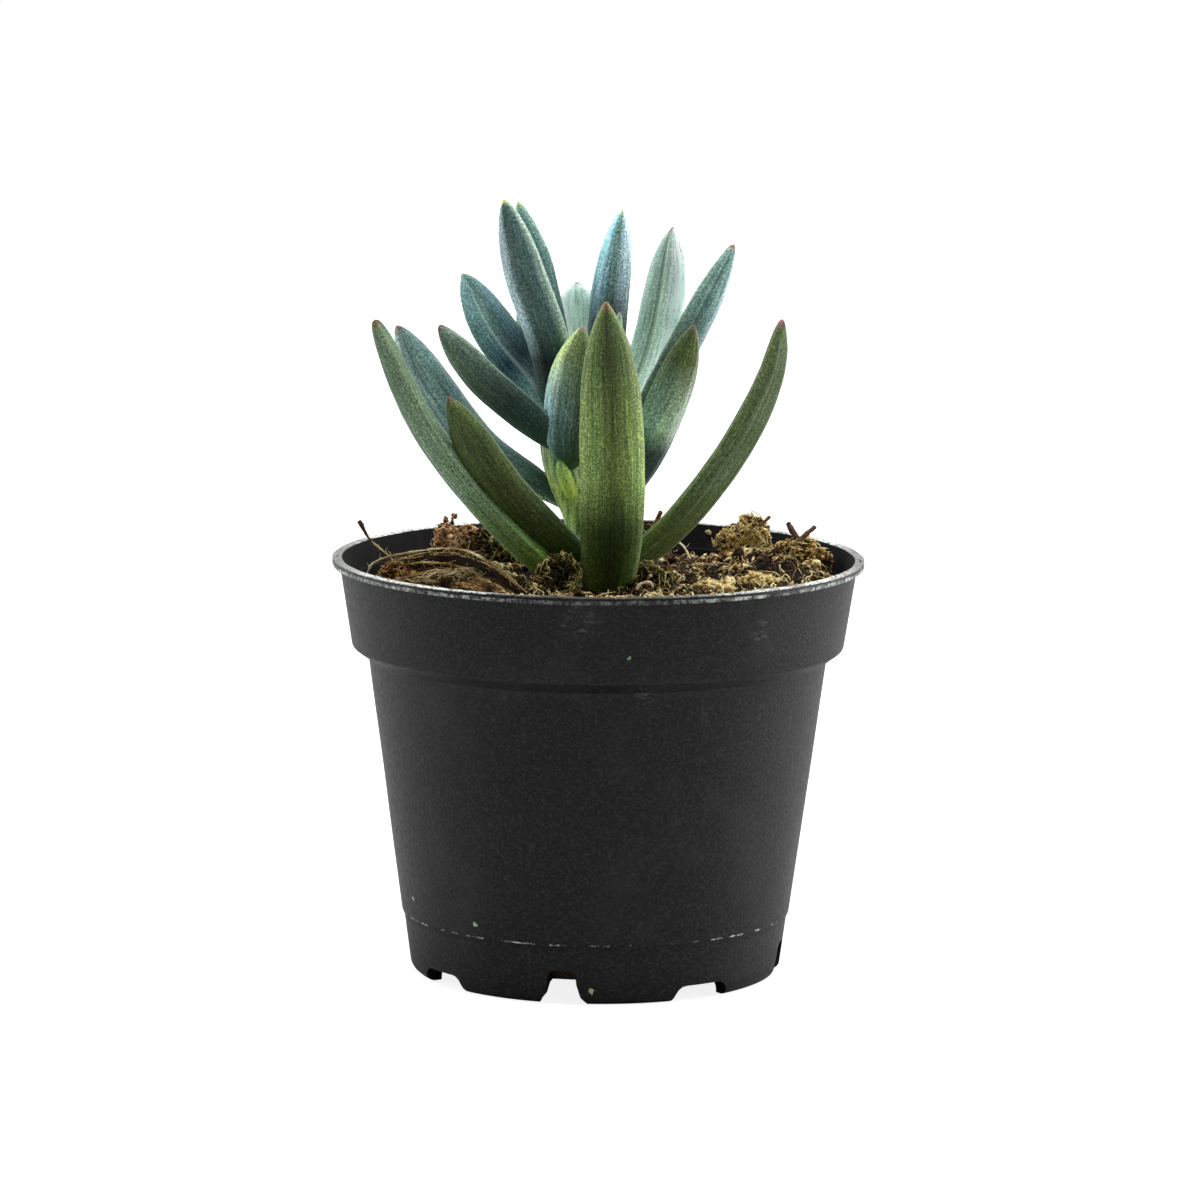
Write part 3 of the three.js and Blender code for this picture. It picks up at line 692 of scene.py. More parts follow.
def pot_material():
    s = Surface("charcoal_plastic", Specular_IOR_Level=0.34)
    place = s.position()
    height = s.parts(place)[2]
    radius = s.distance(s.stretched(place, 1, 1, 0), (0, 0, 0))
    aside = s.math("ABSOLUTE", s.parts(place)[0])
    fine = s.noise(place, 1700, 3, 0.7)
    cloud = s.noise(place, 60, 4, 0.6)
    streaks = s.noise(s.stretched(place, 1, 1, 0.12), 420, 3, 0.6)
    color = s.mix(s.span(fine, 0.45, 0.66), POT_BLACK, POT_GRAIN)
    color = s.mix(s.span(cloud, 0.5, 0.8, 0, 0.5), color, (0.03, 0.031, 0.031))
    color = s.mix(s.span(streaks, 0.62, 0.8, 0, 0.35), color, (0.05, 0.052, 0.055))
    patches = s.noise(place, 240, 5, 0.7)

    def rubbed(level, outside, spread, low, high, wander=0.0):
        """A worn line round the pot outside a radius, at a height, broken up by patches."""
        off = s.math("ABSOLUTE", s.plus(s.minus(height, level * MM), wander))
        line = s.span(off, spread * MM, 0.4 * spread * MM)
        outer = s.math("GREATER_THAN", radius, outside * MM)
        return s.times(line, outer, s.span(patches, low, high))

    wander = s.fade(s.noise(place, 90, 4, 0.7), -0.4 * MM, 0.4 * MM)
    under_lip = POT_HEIGHT - RIM_THICKNESS + 0.3
    worn = s.times(
        rubbed(under_lip, RIM_RADIUS - 0.6, 0.6, 0.3, 0.58, wander),
        s.span(s.noise(place, 1100, 4, 0.75), 0.38, 0.6),
        s.span(aside, 0.01, 0.03, 0.35, 1.0),
    )
    step = rubbed(STEP_Z - 0.05, WALL_FOOT_RADIUS - 0.25, 0.22, 0.5, 0.6)
    worn = s.math("MAXIMUM", worn, step)
    pale = s.mix(s.span(s.noise(place, 420, 3), 0.35, 0.65), (0.3, 0.35, 0.28), (0.86, 0.9, 0.86))
    color = s.mix(worn, color, pale)
    # Dust on the lip, with a painted reflection of the light above it, thinner at the front and at the far
    # sides
    lip_dust_and_reflection = s.times(
        s.span(height, (POT_HEIGHT - 0.32) * MM, (POT_HEIGHT - 0.18) * MM),
        s.math("GREATER_THAN", radius, (COLLAR_TOP_RADIUS - 1.2) * MM),
        s.span(s.noise(place, 1150, 4, 0.8), 0.38, 0.56),
        s.span(s.noise(place, 130, 3, 0.6), 0.33, 0.58, 0.35, 1.0),
        s.span(aside, 0.008, 0.028, 0.08, 1.0),
        s.span(aside, 0.051, 0.046, 0.15, 1.0),
    )
    color = s.mix(lip_dust_and_reflection, color, s.mix(0.65, pale, LIP_DUST_AND_REFLECTION_WHITE))
    for degrees, level, out, size, speck in POT_SPECKS:
        ragged = s.fade(s.noise(place, 1600, 2), 0.1 * size * MM, 1.4 * size * MM)
        off = s.distance(place, place_on_pot(degrees, level, out))
        color = s.mix(s.math("LESS_THAN", off, ragged), color, speck)
    scratches = s.span(s.noise(s.stretched(place, 0.35, 0.35, 1), 1500, 4, 0.75), 0.52, 0.66, 0, 0.6)
    for degrees, level, out, size in POT_SCUFFS:
        off = s.distance(place, place_on_pot(degrees, level, out))
        near = s.span(off, size * MM, 0.3 * size * MM)
        color = s.mix(s.times(near, scratches), color, SCUFF_GREY)
    s.set("Base Color", color)
    rough = s.span(s.noise(place, 900, 3, 0.6), 0.3, 0.7, 0.34, 0.46)
    s.set("Roughness", s.fade(worn, rough, 0.75))
    s.set("Normal", s.bump(fine, 0.12, 0.9, s.bump(cloud, 0.12, 0.4)))
    return s.material


def pot_inside_material():
    """The dull inside of the pot, dusted by the mix; its base colour, darker than the outside's, is
    painted shade.
    """
    s = Surface("dusty_plastic_painted_shade", Specular_IOR_Level=0.12, Roughness=0.85)
    place = s.position()
    fine = s.noise(place, 2600, 2, 0.6)
    # Painted shade: darker than the same plastic outside
    color = s.mix(fine, (0.0014, 0.0014, 0.0018), (0.01, 0.01, 0.0125))
    streaks = s.noise(s.stretched(place, 1, 1, 0.4), 160, 5, 0.7)
    color = s.mix(s.span(streaks, 0.52, 0.75, 0, 0.4), color, (0.05, 0.05, 0.055))
    low = s.minus(1.0, s.span(s.parts(place)[2], 0.0765, 0.0795))
    color = s.mix(s.times(low, s.span(fine, 0.4, 0.6, 0, 0.25)), color, (0.03, 0.025, 0.018))
    s.set("Base Color", color)
    s.set("Normal", s.bump(fine, 0.05, 0.6, s.bump(streaks, 0.12, 0.5)))
    return s.material


# Plant. Each leaf runs through its points from the stem to the tip, with its outer face turned the
# given way. The foot is the width there as a share of the full width, and widest is where that full
# width lies, as a share of the length. Ridges and grooves are angles round the section, from the
# middle of the outer face, where the skin rises or sinks in a line; the skin's colour also carries a
# painted highlight along each ridge and painted shade along each groove.
# The three colours run from the foot to the tip. Light scales each of them, partly the leaf's own
# colour and partly painted light and shade, and deep is how far the first one reaches. Tints hold
# painted side light and shade for each side, rims a painted rim highlight for each side, band is the
# paler stretch along both sides, partly the leaf's own paler sides and partly painted side light, and
# outer tints the outer face. Bloom, speck, line and edge are strengths; line is that of the painted
# ridge highlight.
DEEP_GREEN = (0.042, 0.086, 0.01)
OLIVE = (0.115, 0.175, 0.045)
LEAF_GREEN = (0.14, 0.215, 0.075)
GREY_GREEN = (0.16, 0.25, 0.17)
DARK_TEAL = (0.044, 0.1, 0.084)
BLUE_GREEN = (0.13, 0.235, 0.225)
CHALK_BLUE = (0.105, 0.22, 0.27)
DEEP_BLUE = (0.04, 0.17, 0.25)
PALE_GREEN = (0.27, 0.42, 0.34)
PALE_GREY = (0.36, 0.5, 0.44)
STEM_GREEN = (0.42, 0.55, 0.13)
RED_TIP = (0.085, 0.03, 0.028)
PINK_TIP = (0.26, 0.1, 0.12)
LIME_TIP = (0.5, 0.62, 0.12)
BROWN_TIP = (0.14, 0.055, 0.035)

LEAVES = {
    "front_leaf": dict(
        points=[(1.8, -6, 72.8), (2.6, -11.4, 91.5), (2.2, -14, 113.4), (1, -12, 134.4)],
        facing=(0.1, -1, -0.2), width=12.7, thickness=5, foot=0.5,
        colors=(DEEP_GREEN, OLIVE, OLIVE), tip=BROWN_TIP, band=1.0, deep=0.29,
        light=(0.46, 1.25, 0.34), tints=((2.6, 2.6, 3.3), (1.95, 1.95, 2.3)), bloom=0.4,
    ),
    "young_leaf": dict(
        points=[(-5.4, -1.6, 94.6), (-6.6, -4.2, 98.4), (-8, -5, 102.4)],
        facing=(0, -1, 0), width=2.6, thickness=1.8, foot=0.8,
        colors=(STEM_GREEN, STEM_GREEN, LEAF_GREEN), tip=LEAF_GREEN, band=0.3,
        light=(1.9, 1.9, 3.6),
    ),
    "rounded_leaf": dict(
        points=[(-6, -0.8, 100.8), (-6.7, -7, 107.8), (-5.8, -9.6, 117.7), (-3.4, -8.6, 129)],
        facing=(-0.5, -1, 0), width=10, thickness=5, foot=0.36, taper=3.4,
        colors=(DARK_TEAL, BLUE_GREEN, LEAF_GREEN), tip=PINK_TIP, band=0.45,
        light=(1.1, 1.2, 0.85), tints=((4.0, 3.5, 4.2), (0.7, 0.7, 0.58)),
    ),
    "low_left_leaf": dict(
        points=[(-4.2, -4, 82), (-13.4, -10, 91.5), (-20.9, -14, 100.7), (-29.4, -16, 116)],
        facing=(-0.5, -1.2, -0.3), width=10, thickness=5, foot=0.75,
        colors=(DEEP_GREEN, OLIVE, OLIVE), tip=RED_TIP, band=0.2,
        light=(0.72, 0.59, 0.62),
    ),
    "outer_left_leaf": dict(
        points=[(-4.4, -3, 76.6), (-17.7, -8.6, 88.8), (-33.5, -11.4, 108.8), (-44, -9.6, 130.2)],
        facing=(-0.95, -0.42, -0.72), width=9.9, thickness=5.9, foot=0.55,
        colors=(DEEP_GREEN, GREY_GREEN, GREY_GREEN), tip=BROWN_TIP, band=0.3, keel=1.6, edge=1.6,
        light=(3.8, 1.7, 0.86), tints=((1.1, 1.1, 1), (0.85, 0.88, 0.8)),
    ),
    "right_long_leaf": dict(
        points=[
            (1.6, -1, 78), (12.5, -2, 86.8), (19.8, -3, 95), (28.3, -3, 107.7), (33.4, -2, 119.1),
            (35.6, -1, 130),
        ],
        facing=(0.8, -0.9, -0.5), width=9.0, thickness=5, foot=0.56, taper=2.6,
        colors=(OLIVE, LEAF_GREEN, LEAF_GREEN), tip=PINK_TIP, band=0.3, ridges=(-30, 25),
        light=(0.8, 0.68, 0.5), line=0.3,
    ),
    "back_left_leaf": dict(
        points=[
            (-3.4, 1, 91.2), (-12.3, 3.4, 96.6), (-23.7, 5, 103.6), (-32.2, 6, 113.9), (-40.2, 5, 127.4),
        ],
        facing=(-0.45, 1, -0.5), width=9.6, thickness=4.6, foot=0.25, taper=1.6, widest=0.6,
        colors=(DARK_TEAL, BLUE_GREEN, BLUE_GREEN), tip=RED_TIP, band=0.3, grooves=(150,),
        light=(0.75, 0.75, 0.9), tints=((0.8, 0.86, 0.95), (1.6, 1.4, 1.5)), rims=(0, 0.45),
    ),
    "mid_left_leaf": dict(
        points=[(-8.4, -0.6, 105.2), (-13.8, -6.6, 110.7), (-23.15, -10.4, 119.4), (-31.4, -12, 129.4)],
        facing=(-0.6, -1, -0.5), width=9, thickness=5,
        colors=(DARK_TEAL, DARK_TEAL, GREY_GREEN), tip=RED_TIP, band=0.2,
        light=(0.85, 0.62, 0.74), tints=((1.3, 1.3, 1.45), (0.9, 0.95, 1.1)),
    ),
    "upper_left_leaf": dict(
        points=[(-8.6, 1.6, 107.4), (-12.9, 4.6, 116.8), (-20.5, 6, 126), (-27.3, 5, 137.8)],
        facing=(-0.35, 1, -0.2), width=9.4, thickness=4.6,
        colors=(BLUE_GREEN, DEEP_BLUE, BLUE_GREEN), tip=LEAF_GREEN, band=0.3, ridges=(163,), keel=1.5,
        light=(0.66, 0.13, 0.85), tints=((0.86, 1.0, 1.2), (2.35, 2.4, 2.7)), bloom=0.1,
    ),
    "tall_leaf": dict(
        points=[(-8.2, 0.8, 112.4), (-10, -2.6, 124.7), (-14.8, -4, 138.5), (-19, -3, 153.3)],
        facing=(-0.5, -1, 0), width=9.2, thickness=5,
        colors=(DARK_TEAL, BLUE_GREEN, BLUE_GREEN), tip=LIME_TIP, band=0.45,
        light=(0.2, 0.66, 0.5), tints=((5.2, 4.0, 4.8), (0.95, 1.08, 1.15)), deep=0.24, rims=(0, 0.5),
    ),
    "tall_back_leaf": dict(
        points=[(-7.6, 2, 112.6), (-9.5, 6.6, 124.4), (-12.8, 7.6, 139.1), (-16.4, 6.6, 152)],
        facing=(0.5, 1, 0), width=7.6, thickness=4.2,
        colors=(DARK_TEAL, CHALK_BLUE, BLUE_GREEN), tip=LIME_TIP, band=0.3,
        light=(0.35, 0.5, 1.5),
    ),
    "inner_back_leaf": dict(
        points=[(-8.6, 2, 108.6), (-10.9, 12, 116.9), (-13, 17, 127.3), (-14.1, 20, 135.6)],
        facing=(-0.2, 1, -0.4), width=8.6, thickness=4.6,
        colors=(DARK_TEAL, BLUE_GREEN, BLUE_GREEN), tip=PINK_TIP, band=0.4,
    ),
    "small_back_leaf": dict(
        points=[(-7, 2.4, 112), (-3.6, 8, 116), (-4.1, 12.6, 125), (-4.7, 13, 135.4)],
        facing=(0.2, 1, -0.2), width=7.8, thickness=3, widest=0.8,
        colors=(PALE_GREY, PALE_GREY, PALE_GREY), tip=PINK_TIP, band=0.3,
        light=(1.5, 1.6, 1.9), tints=((1.06, 0.92, 1.02), (1.06, 0.92, 1.02)), speck=0.5,
        outer=(0.5, 0.56, 0.58),
    ),
    "centre_leaf": dict(
        points=[(3.6, 3, 110.4), (1.2, 5, 117.5), (1.3, 6, 126), (2.35, 7, 138.4), (4.2, 6, 150.8)],
        facing=(0, -1, 0), width=7.6, thickness=4.6, foot=0.5,
        colors=(BLUE_GREEN, CHALK_BLUE, BLUE_GREEN), tip=LIME_TIP, band=0.5, ridges=(-32,),
        light=(0.65, 0.12, 1.55), tints=((2.1, 2.2, 2.8), (2.4, 1.9, 2.3)),
    ),
    "shoulder_leaf": dict(
        points=[(4.6, 1.4, 106.6), (3.4, -2.6, 114.8), (2.5, -3.6, 123.7), (3.8, -2.6, 131.4)],
        facing=(0.3, -1, 0), width=4.2, thickness=3.2,
        colors=(BLUE_GREEN, GREY_GREEN, GREY_GREEN), tip=PINK_TIP, band=0.4,
        light=(1.2, 1.2, 1.2),
    ),
    "pale_leaf": dict(
        points=[(5, 4, 109), (9.9, 10, 121.3), (12.7, 12, 134), (14.2, 11, 146.8)],
        facing=(0.5, 1, 0), width=9.5, thickness=4.4, foot=0.5,
        colors=(PALE_GREEN, PALE_GREEN, PALE_GREY), tip=PINK_TIP, band=0.4,
        ridges=(186,), grooves=(170,),
        light=(1.15, 1.15, 0.9), tints=((2.5, 2.1, 2.5), (1, 1, 1.05)), edge=0.3, speck=0.55,
        outer=(0.6, 0.66, 0.66),
    ),
    "upper_right_leaf": dict(
        points=[(5.6, 2.6, 102.6), (12.7, 4.6, 116.8), (19.8, 6, 130.5), (26.1, 6, 143.9)],
        facing=(0.7, -0.8, -0.3), width=8.7, thickness=4.4,
        colors=(DARK_TEAL, BLUE_GREEN, BLUE_GREEN), tip=PINK_TIP, band=0.4, grooves=(-30,),
        light=(0.65, 0.44, 1.45), tints=((0.95, 0.95, 0.95), (2.3, 1.8, 2.2)), rims=(0, 0.3),
    ),
    "mid_right_leaf": dict(
        points=[(4.4, 0.4, 94.6), (9.8, -3.6, 105.6), (14.6, -5, 117.8), (18.3, -4, 129)],
        facing=(0.5, -1.2, -0.3), width=9.1, thickness=4.8,
        colors=(BLUE_GREEN, GREY_GREEN, OLIVE), tip=BROWN_TIP, band=0.35, ridges=(35,),
        light=(0.35, 2.3, 0.5), tints=((0.64, 0.72, 0.84), (1.9, 1.6, 2.0)), deep=0.32,
    ),
    "upper_back_leaf": dict(
        points=[(4.4, 4, 103.6), (1.9, 12.6, 111), (1.2, 18.4, 119.5), (0.6, 21, 129.5)],
        facing=(0, 1, -0.4), width=8.4, thickness=4.8,
        colors=(DARK_TEAL, BLUE_GREEN, CHALK_BLUE), tip=PINK_TIP, band=0.45,
    ),
    "right_back_leaf": dict(
        points=[(4.6, 3.6, 98.4), (9.4, 12, 106.2), (12.8, 18, 115.6), (14.6, 21, 125.6)],
        facing=(0.6, 1, -0.4), width=8.6, thickness=4.8,
        colors=(DARK_TEAL, BLUE_GREEN, BLUE_GREEN), tip=RED_TIP, band=0.4,
    ),
    "low_back_leaf": dict(
        points=[(-1.4, 2.6, 80.4), (-0.6, 12, 92), (0.5, 19, 104.8), (1.2, 22, 118.5)],
        facing=(0, 1, -0.4), width=9.6, thickness=5,
        colors=(DEEP_GREEN, LEAF_GREEN, LEAF_GREEN), tip=RED_TIP, band=0.5, ridges=(-40, 40),
    ),
    "left_back_leaf": dict(
        points=[(-3.4, 2, 81.6), (-12.7, 11, 88.6), (-21.8, 16.6, 97), (-30.4, 19, 110.6)],
        facing=(-0.8, 0.8, -0.7), width=7.6, thickness=4.8,
        colors=(DEEP_GREEN, LEAF_GREEN, GREY_GREEN), tip=RED_TIP, band=0.3,
    ),
    "right_low_back_leaf": dict(
        points=[(2.6, 3, 90.6), (7.2, 11, 98.2), (11.4, 16.6, 106.8), (14, 19, 117)],
        facing=(0.8, 0.8, -0.6), width=8.4, thickness=4.8,
        colors=(DEEP_GREEN, GREY_GREEN, LEAF_GREEN), tip=BROWN_TIP, band=0.35,
    ),
}
GREEN_NODES = (
    "front_leaf", "low_left_leaf", "outer_left_leaf", "right_long_leaf", "mid_left_leaf",
    "mid_right_leaf", "low_back_leaf", "left_back_leaf", "right_low_back_leaf",
)
LEAF_ROWS = 66
LEAF_SIDES = 54
LEAF_WIDEST = 0.5
LEAF_TAPER = 4
LEAF_FOOT = 0.6
LEAF_TIP_START = 2.8
LEAF_TIP_FULLNESS = 0.8
LEAF_POINT = 0.26
RIDGE_RISE = 0.26
GROOVE_SINK = 0.3
LINE_SPREAD = 10
# How a skin's fine noises lighten and darken it: the noise, the stretch of it that counts, the
# strength and the tint
LEAF_GRAIN = (
    ("lines", 0.3, 0.7, 0.8, (1.55, 1.5, 1.45)),
    ("lines", 0.5, 0.25, 0.55, (0.55, 0.6, 0.55)),
    ("threads", 0.5, 0.7, 0.7, (1.7, 1.6, 1.5)),
    ("threads", 0.5, 0.3, 0.7, (0.5, 0.54, 0.5)),
    ("speckle", 0.5, 0.68, 1.0, (2.3, 2.15, 2.0)),
    ("speckle", 0.5, 0.32, 0.9, (0.25, 0.29, 0.25)),
)
STEM_GRAIN = (
    ("lines", 0.45, 0.7, 0.8, (1.4, 1.35, 1.3)),
    ("lines", 0.52, 0.36, 0.9, (0.22, 0.34, 0.3)),
    ("speckle", 0.5, 0.32, 0.85, (0.3, 0.36, 0.3)),
    ("speckle", 0.5, 0.68, 0.8, (1.6, 1.5, 1.5)),
)
SPECKLE_SCALE = 2500


def width_share(share, foot, widest, taper):
    """The share of the full width along a leaf: a narrower foot, then a fall to the pointed tip."""
    low = 1 - (1 - foot) * np.clip(1 - share / widest, 0, 1) ** taper
    past = np.clip((share - widest) / (1 - widest), 0, 1)
    return np.where(share < widest, low, np.maximum(1 - past**LEAF_TIP_START, 0) ** LEAF_TIP_FULLNESS)


def angle_line(angle, degrees):
    """1 on a line at that angle round the section, falling to 0 beside it."""
    off = np.abs((np.degrees(angle) - degrees + 180) % 360 - 180)
    return np.exp(-((off / LINE_SPREAD) ** 2))


def make_leaf(
    name, points, facing, width, thickness, seed, foot=LEAF_FOOT, ridges=(), grooves=(),
    widest=LEAF_WIDEST, taper=LEAF_TAPER, keel=1.25, **_
):
    step = np.linspace(0, 1, LEAF_ROWS)
    share = 1 - (1 - step) ** 1.25
    places, along = curve_through(points, share)
    front = unit(np.array(facing, float) - (along @ np.array(facing, float))[:, None] * along)
    side = np.cross(along, front)
    angle = FULL_TURN * np.arange(LEAF_SIDES) / LEAF_SIDES
    share, angle = np.meshgrid(share, angle, indexing="ij")
    across, face = np.sin(angle), np.cos(angle)
    body = width_share(share, foot, widest, taper)
    point = LEAF_POINT * np.clip((1 - share) / 0.03, 0, 1) ** 0.8
    half_width = np.maximum(0.5 * width * body, point)
    half_thick = np.maximum(0.5 * thickness * np.sqrt(body), point)
    blend = smoothstep(0.0, 0.15, body)
    # The outer face is full; the inner face is flatter, with a shallow channel
    outer = np.clip(face, 0, 1) ** keel
    inner = np.clip(-face, 0, 1) ** (keel + 0.15)
    channel = 0.2 * np.exp(-((across / 0.35) ** 2)) * (face < 0) * smoothstep(1.0, 0.7, share)
    rise = outer * 1.02 - inner * (0.94 - channel)
    rise = rise * blend + face * (1 - blend)
    lift = np.zeros_like(share)
    reach = smoothstep(0.02, 0.2, share) * smoothstep(0.985, 0.9, share)
    for degrees in ridges:
        lift += RIDGE_RISE * angle_line(angle, degrees) * reach
    for degrees in grooves:
        lift -= GROOVE_SINK * angle_line(angle, degrees) * reach
    centre = places[:, None]
    rings = centre + side[:, None] * (half_width * across)[..., None]
    rings = rings + front[:, None] * (half_thick * rise)[..., None]
    outward = unit(rings - centre)
    wave = 0.1 * layered_noise(rings, 7, seed, 2) + 0.035 * noise(rings * (2, 2, 0.6), 1.2, seed + 9)
    rings = rings + outward * ((lift + wave * blend) * blend)[..., None]
    build = Build()
    poles = [places[0] - along[0] * 0.4, places[-1]]
    add_rings(build, rings, poles, along=share, across=across, facing=face)
    return build.mesh_object(name)


def leaf_material(name, leaf, seed):
    s = Surface(
        name, Specular_IOR_Level=0.27, Sheen_Weight=0.1, Sheen_Roughness=0.4,
        Sheen_Tint=(0.75, 0.9, 0.92, 1), Subsurface_Weight=0.08, Subsurface_Scale=0.004,
        Subsurface_Radius=(0.6, 1.0, 0.4),
    )
    # The colours scaled by the leaf's light values, partly its own colour and partly painted light and
    # shade
    low, middle, high = (
        tuple(light * part for part in color)
        for light, color in zip(leaf.get("light", (1, 1, 1)), leaf["colors"])
    )
    tip = leaf["tip"]
    near_tip = tuple(0.55 * a + 0.45 * b for a, b in zip(high, tip))
    along, across, facing = (s.attribute(k) for k in ("along", "across", "facing"))
    place = s.position()
    patch = s.noise(place, 110, 3, 0.6)
    shifted = s.plus(along, s.times(s.minus(patch, 0.5), 0.03))
    color = s.ramp(shifted, [
        (0.0, low), (leaf.get("deep", 0.16), low), (0.45, middle), (0.8, high), (0.96, high),
        (0.982, near_tip), (0.995, tip),
    ])

    def lengthwise(scale, drawn_out, detail):
        """Noise in lines that run along the leaf, the given number of them to its half width."""
        at = s.vector(
            s.times(across, scale), s.times(facing, scale), s.plus(s.times(along, drawn_out), seed * 7.0)
        )
        return s.noise(at, 1.0, detail, 0.62)

    lines = lengthwise(8.5, 3.0, 3)
    threads = lengthwise(24.0, 7.0, 2)
    # Painted side light and shade: each side's tint
    for tint, toward in zip(leaf.get("tints", ()), (-1, 1)):
        color = s.tint(color, s.span(across, 0.1 * toward, 0.55 * toward), tint)
    if "outer" in leaf:
        color = s.tint(color, s.span(facing, 0.0, 0.35), leaf["outer"])
    # Paler sides, partly the leaf's own and partly painted side light, a waxy bloom that is rubbed away in
    # patches, and fine lengthwise lines
    side = s.span(s.math("ABSOLUTE", across), 0.6, 1.0, 0, 0.6 * leaf["band"])
    color = s.mix(side, color, s.mix(1.0, color, (0.16, 0.2, 0.1), "ADD"))
    # Painted rim highlight along each side
    for toward, strength in zip((-1, 1), leaf.get("rims", ())):
        rim = s.span(across, 0.72 * toward, 0.95 * toward, 0, strength)
        color = s.mix(rim, color, s.mix(1.0, color, (0.34, 0.4, 0.36), "ADD"))
    bloom = s.span(s.noise(place, 55, 4, 0.6), 0.45, 0.8, 0.0, 0.2 * leaf.get("bloom", 1))
    bloom = s.times(bloom, s.span(along, 0.05, 0.45, 0.1, 1.0))
    color = s.mix(bloom, color, s.mix(0.5, color, (0.3, 0.42, 0.42)))
    speckle = s.noise(place, SPECKLE_SCALE, 3, 0.75)
    fields = {"lines": lines, "threads": threads, "speckle": speckle}
    color = s.grained(color, LEAF_GRAIN, fields, speckle=leaf.get("speck", 1))
    ends = s.times(s.span(along, 0.02, 0.2), s.span(along, 0.985, 0.93))

    def line_at(degrees, spread, strength):
        """A line along the leaf, at an angle round its section."""
        turn = math.radians(degrees)
        toward = s.plus(s.times(facing, math.cos(turn)), s.times(across, math.sin(turn)))
        wide, thin = math.cos(math.radians(spread)), math.cos(math.radians(0.3 * spread))
        return s.times(s.span(toward, wide, thin), ends, strength)

    # light_line is the painted highlight along each ridge, and the pale base of the margins
    light_line = s.mix(1.0, color, (0.2, 0.24, 0.19), "ADD")
    for degrees in leaf.get("ridges", ()):
        color = s.mix(line_at(degrees, 7, leaf.get("line", 0.7)), color, light_line)
    # Painted shade along each groove
    for degrees in leaf.get("grooves", ()):
        color = s.tint(color, line_at(degrees, 7, 0.7), (0.4, 0.42, 0.4))
    edge = s.mix(s.span(along, 0.75, 0.98), light_line, s.mix(0.4, light_line, PINK_TIP))
    for degrees in (90, -90):
        color = s.mix(line_at(degrees, 8, 0.65 * leaf.get("edge", 1)), color, edge)
    s.set("Base Color", color)
    s.set("Roughness", s.span(patch, 0.3, 0.7, 0.48, 0.62))
    s.set("Normal", s.bump(lines, 0.12, 0.6, s.bump(speckle, 0.05, 0.5)))
    return s.material


def make_leaves():
    for seed, (name, leaf) in enumerate(LEAVES.items()):
        obj = make_leaf("grown_" + name, seed=seed * 31 + 3, **leaf)
        slot = "green_leaf" if name in GREEN_NODES else "blue_leaf"
        slot = "stem" if name == "young_leaf" else slot
        place_piece(obj, leaf_material("skin_" + name, leaf, seed), slot, name)


# Stem and roots
STEM_PARTS = (
    ([(-1.2, 0, 70), (-1.4, 0, 80), (-1, 0.5, 88)], (3.6, 4.2, 3.8)),
    (
        [(-1.6, 0.3, 84), (-4.2, 0.6, 91.5), (-7.2, 0.8, 98), (-9, 1, 105), (-8, 1.6, 114)],
        (3.5, 3.2, 3, 2.8, 1.6),
    ),
    ([(-0.6, 0.6, 84), (2.6, 1.4, 93), (4.6, 2.4, 103), (4.4, 3.4, 112)], (3.4, 3.2, 2.9, 1.8)),
)
ROOTS = {
    "tap_root": ([(-1.2, 0, 68), (-0.5, 1, 52), (-2, 0, 36)], (1.8, 1.2, 0.6)),
    "left_root": ([(-4, -0.5, 71.5), (-15, -3, 62), (-24, -4, 46)], (1.1, 0.8, 0.5)),
    "right_root": ([(1.6, -0.5, 71.5), (13, -3, 63), (23, -2, 48)], (1.1, 0.8, 0.5)),
    "front_root": ([(-1, -3, 71.5), (1, -14, 61), (3, -22, 47)], (1, 0.8, 0.5)),
    "back_root": ([(-1.4, 3, 71.5), (-4, 14, 62), (-3, 24, 49)], (1, 0.8, 0.5)),
}


def add_branch(build, points, radii, rows, sides, rough, seed, size=1.5, **values):
    """One closed stalk along a curve, its skin roughened by noise."""
    share = np.linspace(0, 1, rows)
    places, along = curve_through(points, share)
    radius = np.interp(share, np.linspace(0, 1, len(radii)), radii)
    first = unit(np.cross(along, (0.31, -0.9, 0.22)))
    second = np.cross(along, first)
    angle = (FULL_TURN * np.arange(sides) / sides)[:, None]
    around = np.cos(angle) * first[:, None] + np.sin(angle) * second[:, None]
    rings = places[:, None] + radius[:, None, None] * around
    lump = 1 + rough * layered_noise(rings * (1, 1, 0.55), size, seed, 3)
    rings = places[:, None] + radius[:, None, None] * around * lump[..., None]
    poles = [places[0] - along[0] * radius[0] * 0.4, places[-1] + along[-1] * radius[-1] * 0.4]
    full = {k: v(share)[:, None] if callable(v) else v for k, v in values.items()}
    add_rings(build, rings, poles, **full)


def make_stem():
    build = Build()
    for k, (points, radii) in enumerate(STEM_PARTS):
        add_branch(build, points, radii, 40, 24, 0.05, 40 + k, 3.0)
    # The foot of each larger leaf runs down the stem a little way as a low swelling
    for leaf in LEAVES.values():
        foot = np.array(leaf["points"][0], float)
        outward = unit(np.array(leaf["points"][1], float) - foot)
        reach = 0.28 * leaf["width"] * leaf.get("foot", LEAF_FOOT)
        route = [foot + outward * 1.6, foot - outward * 0.8, foot - outward * 1.2 - (0, 0, 3.5)]
        if leaf["width"] > 4 and foot[2] > 77:
            add_branch(build, route, (reach, reach * 0.95, reach * 0.3), 14, 16, 0.04, 60, 3.0)
    stem = build.mesh_object("grown_stem")
    remesh = stem.modifiers.new("join", "REMESH")
    remesh.mode = "VOXEL"
    remesh.voxel_size = 0.4 * MM
    smooth = stem.modifiers.new("soften", "SMOOTH")
    smooth.factor = 0.6
    smooth.iterations = 10
    bake_modifiers(stem)
    stem.data.polygons.foreach_set("use_smooth", [True] * len(stem.data.polygons))
    place_piece(stem, stem_material(), "stem", "branching_stem")


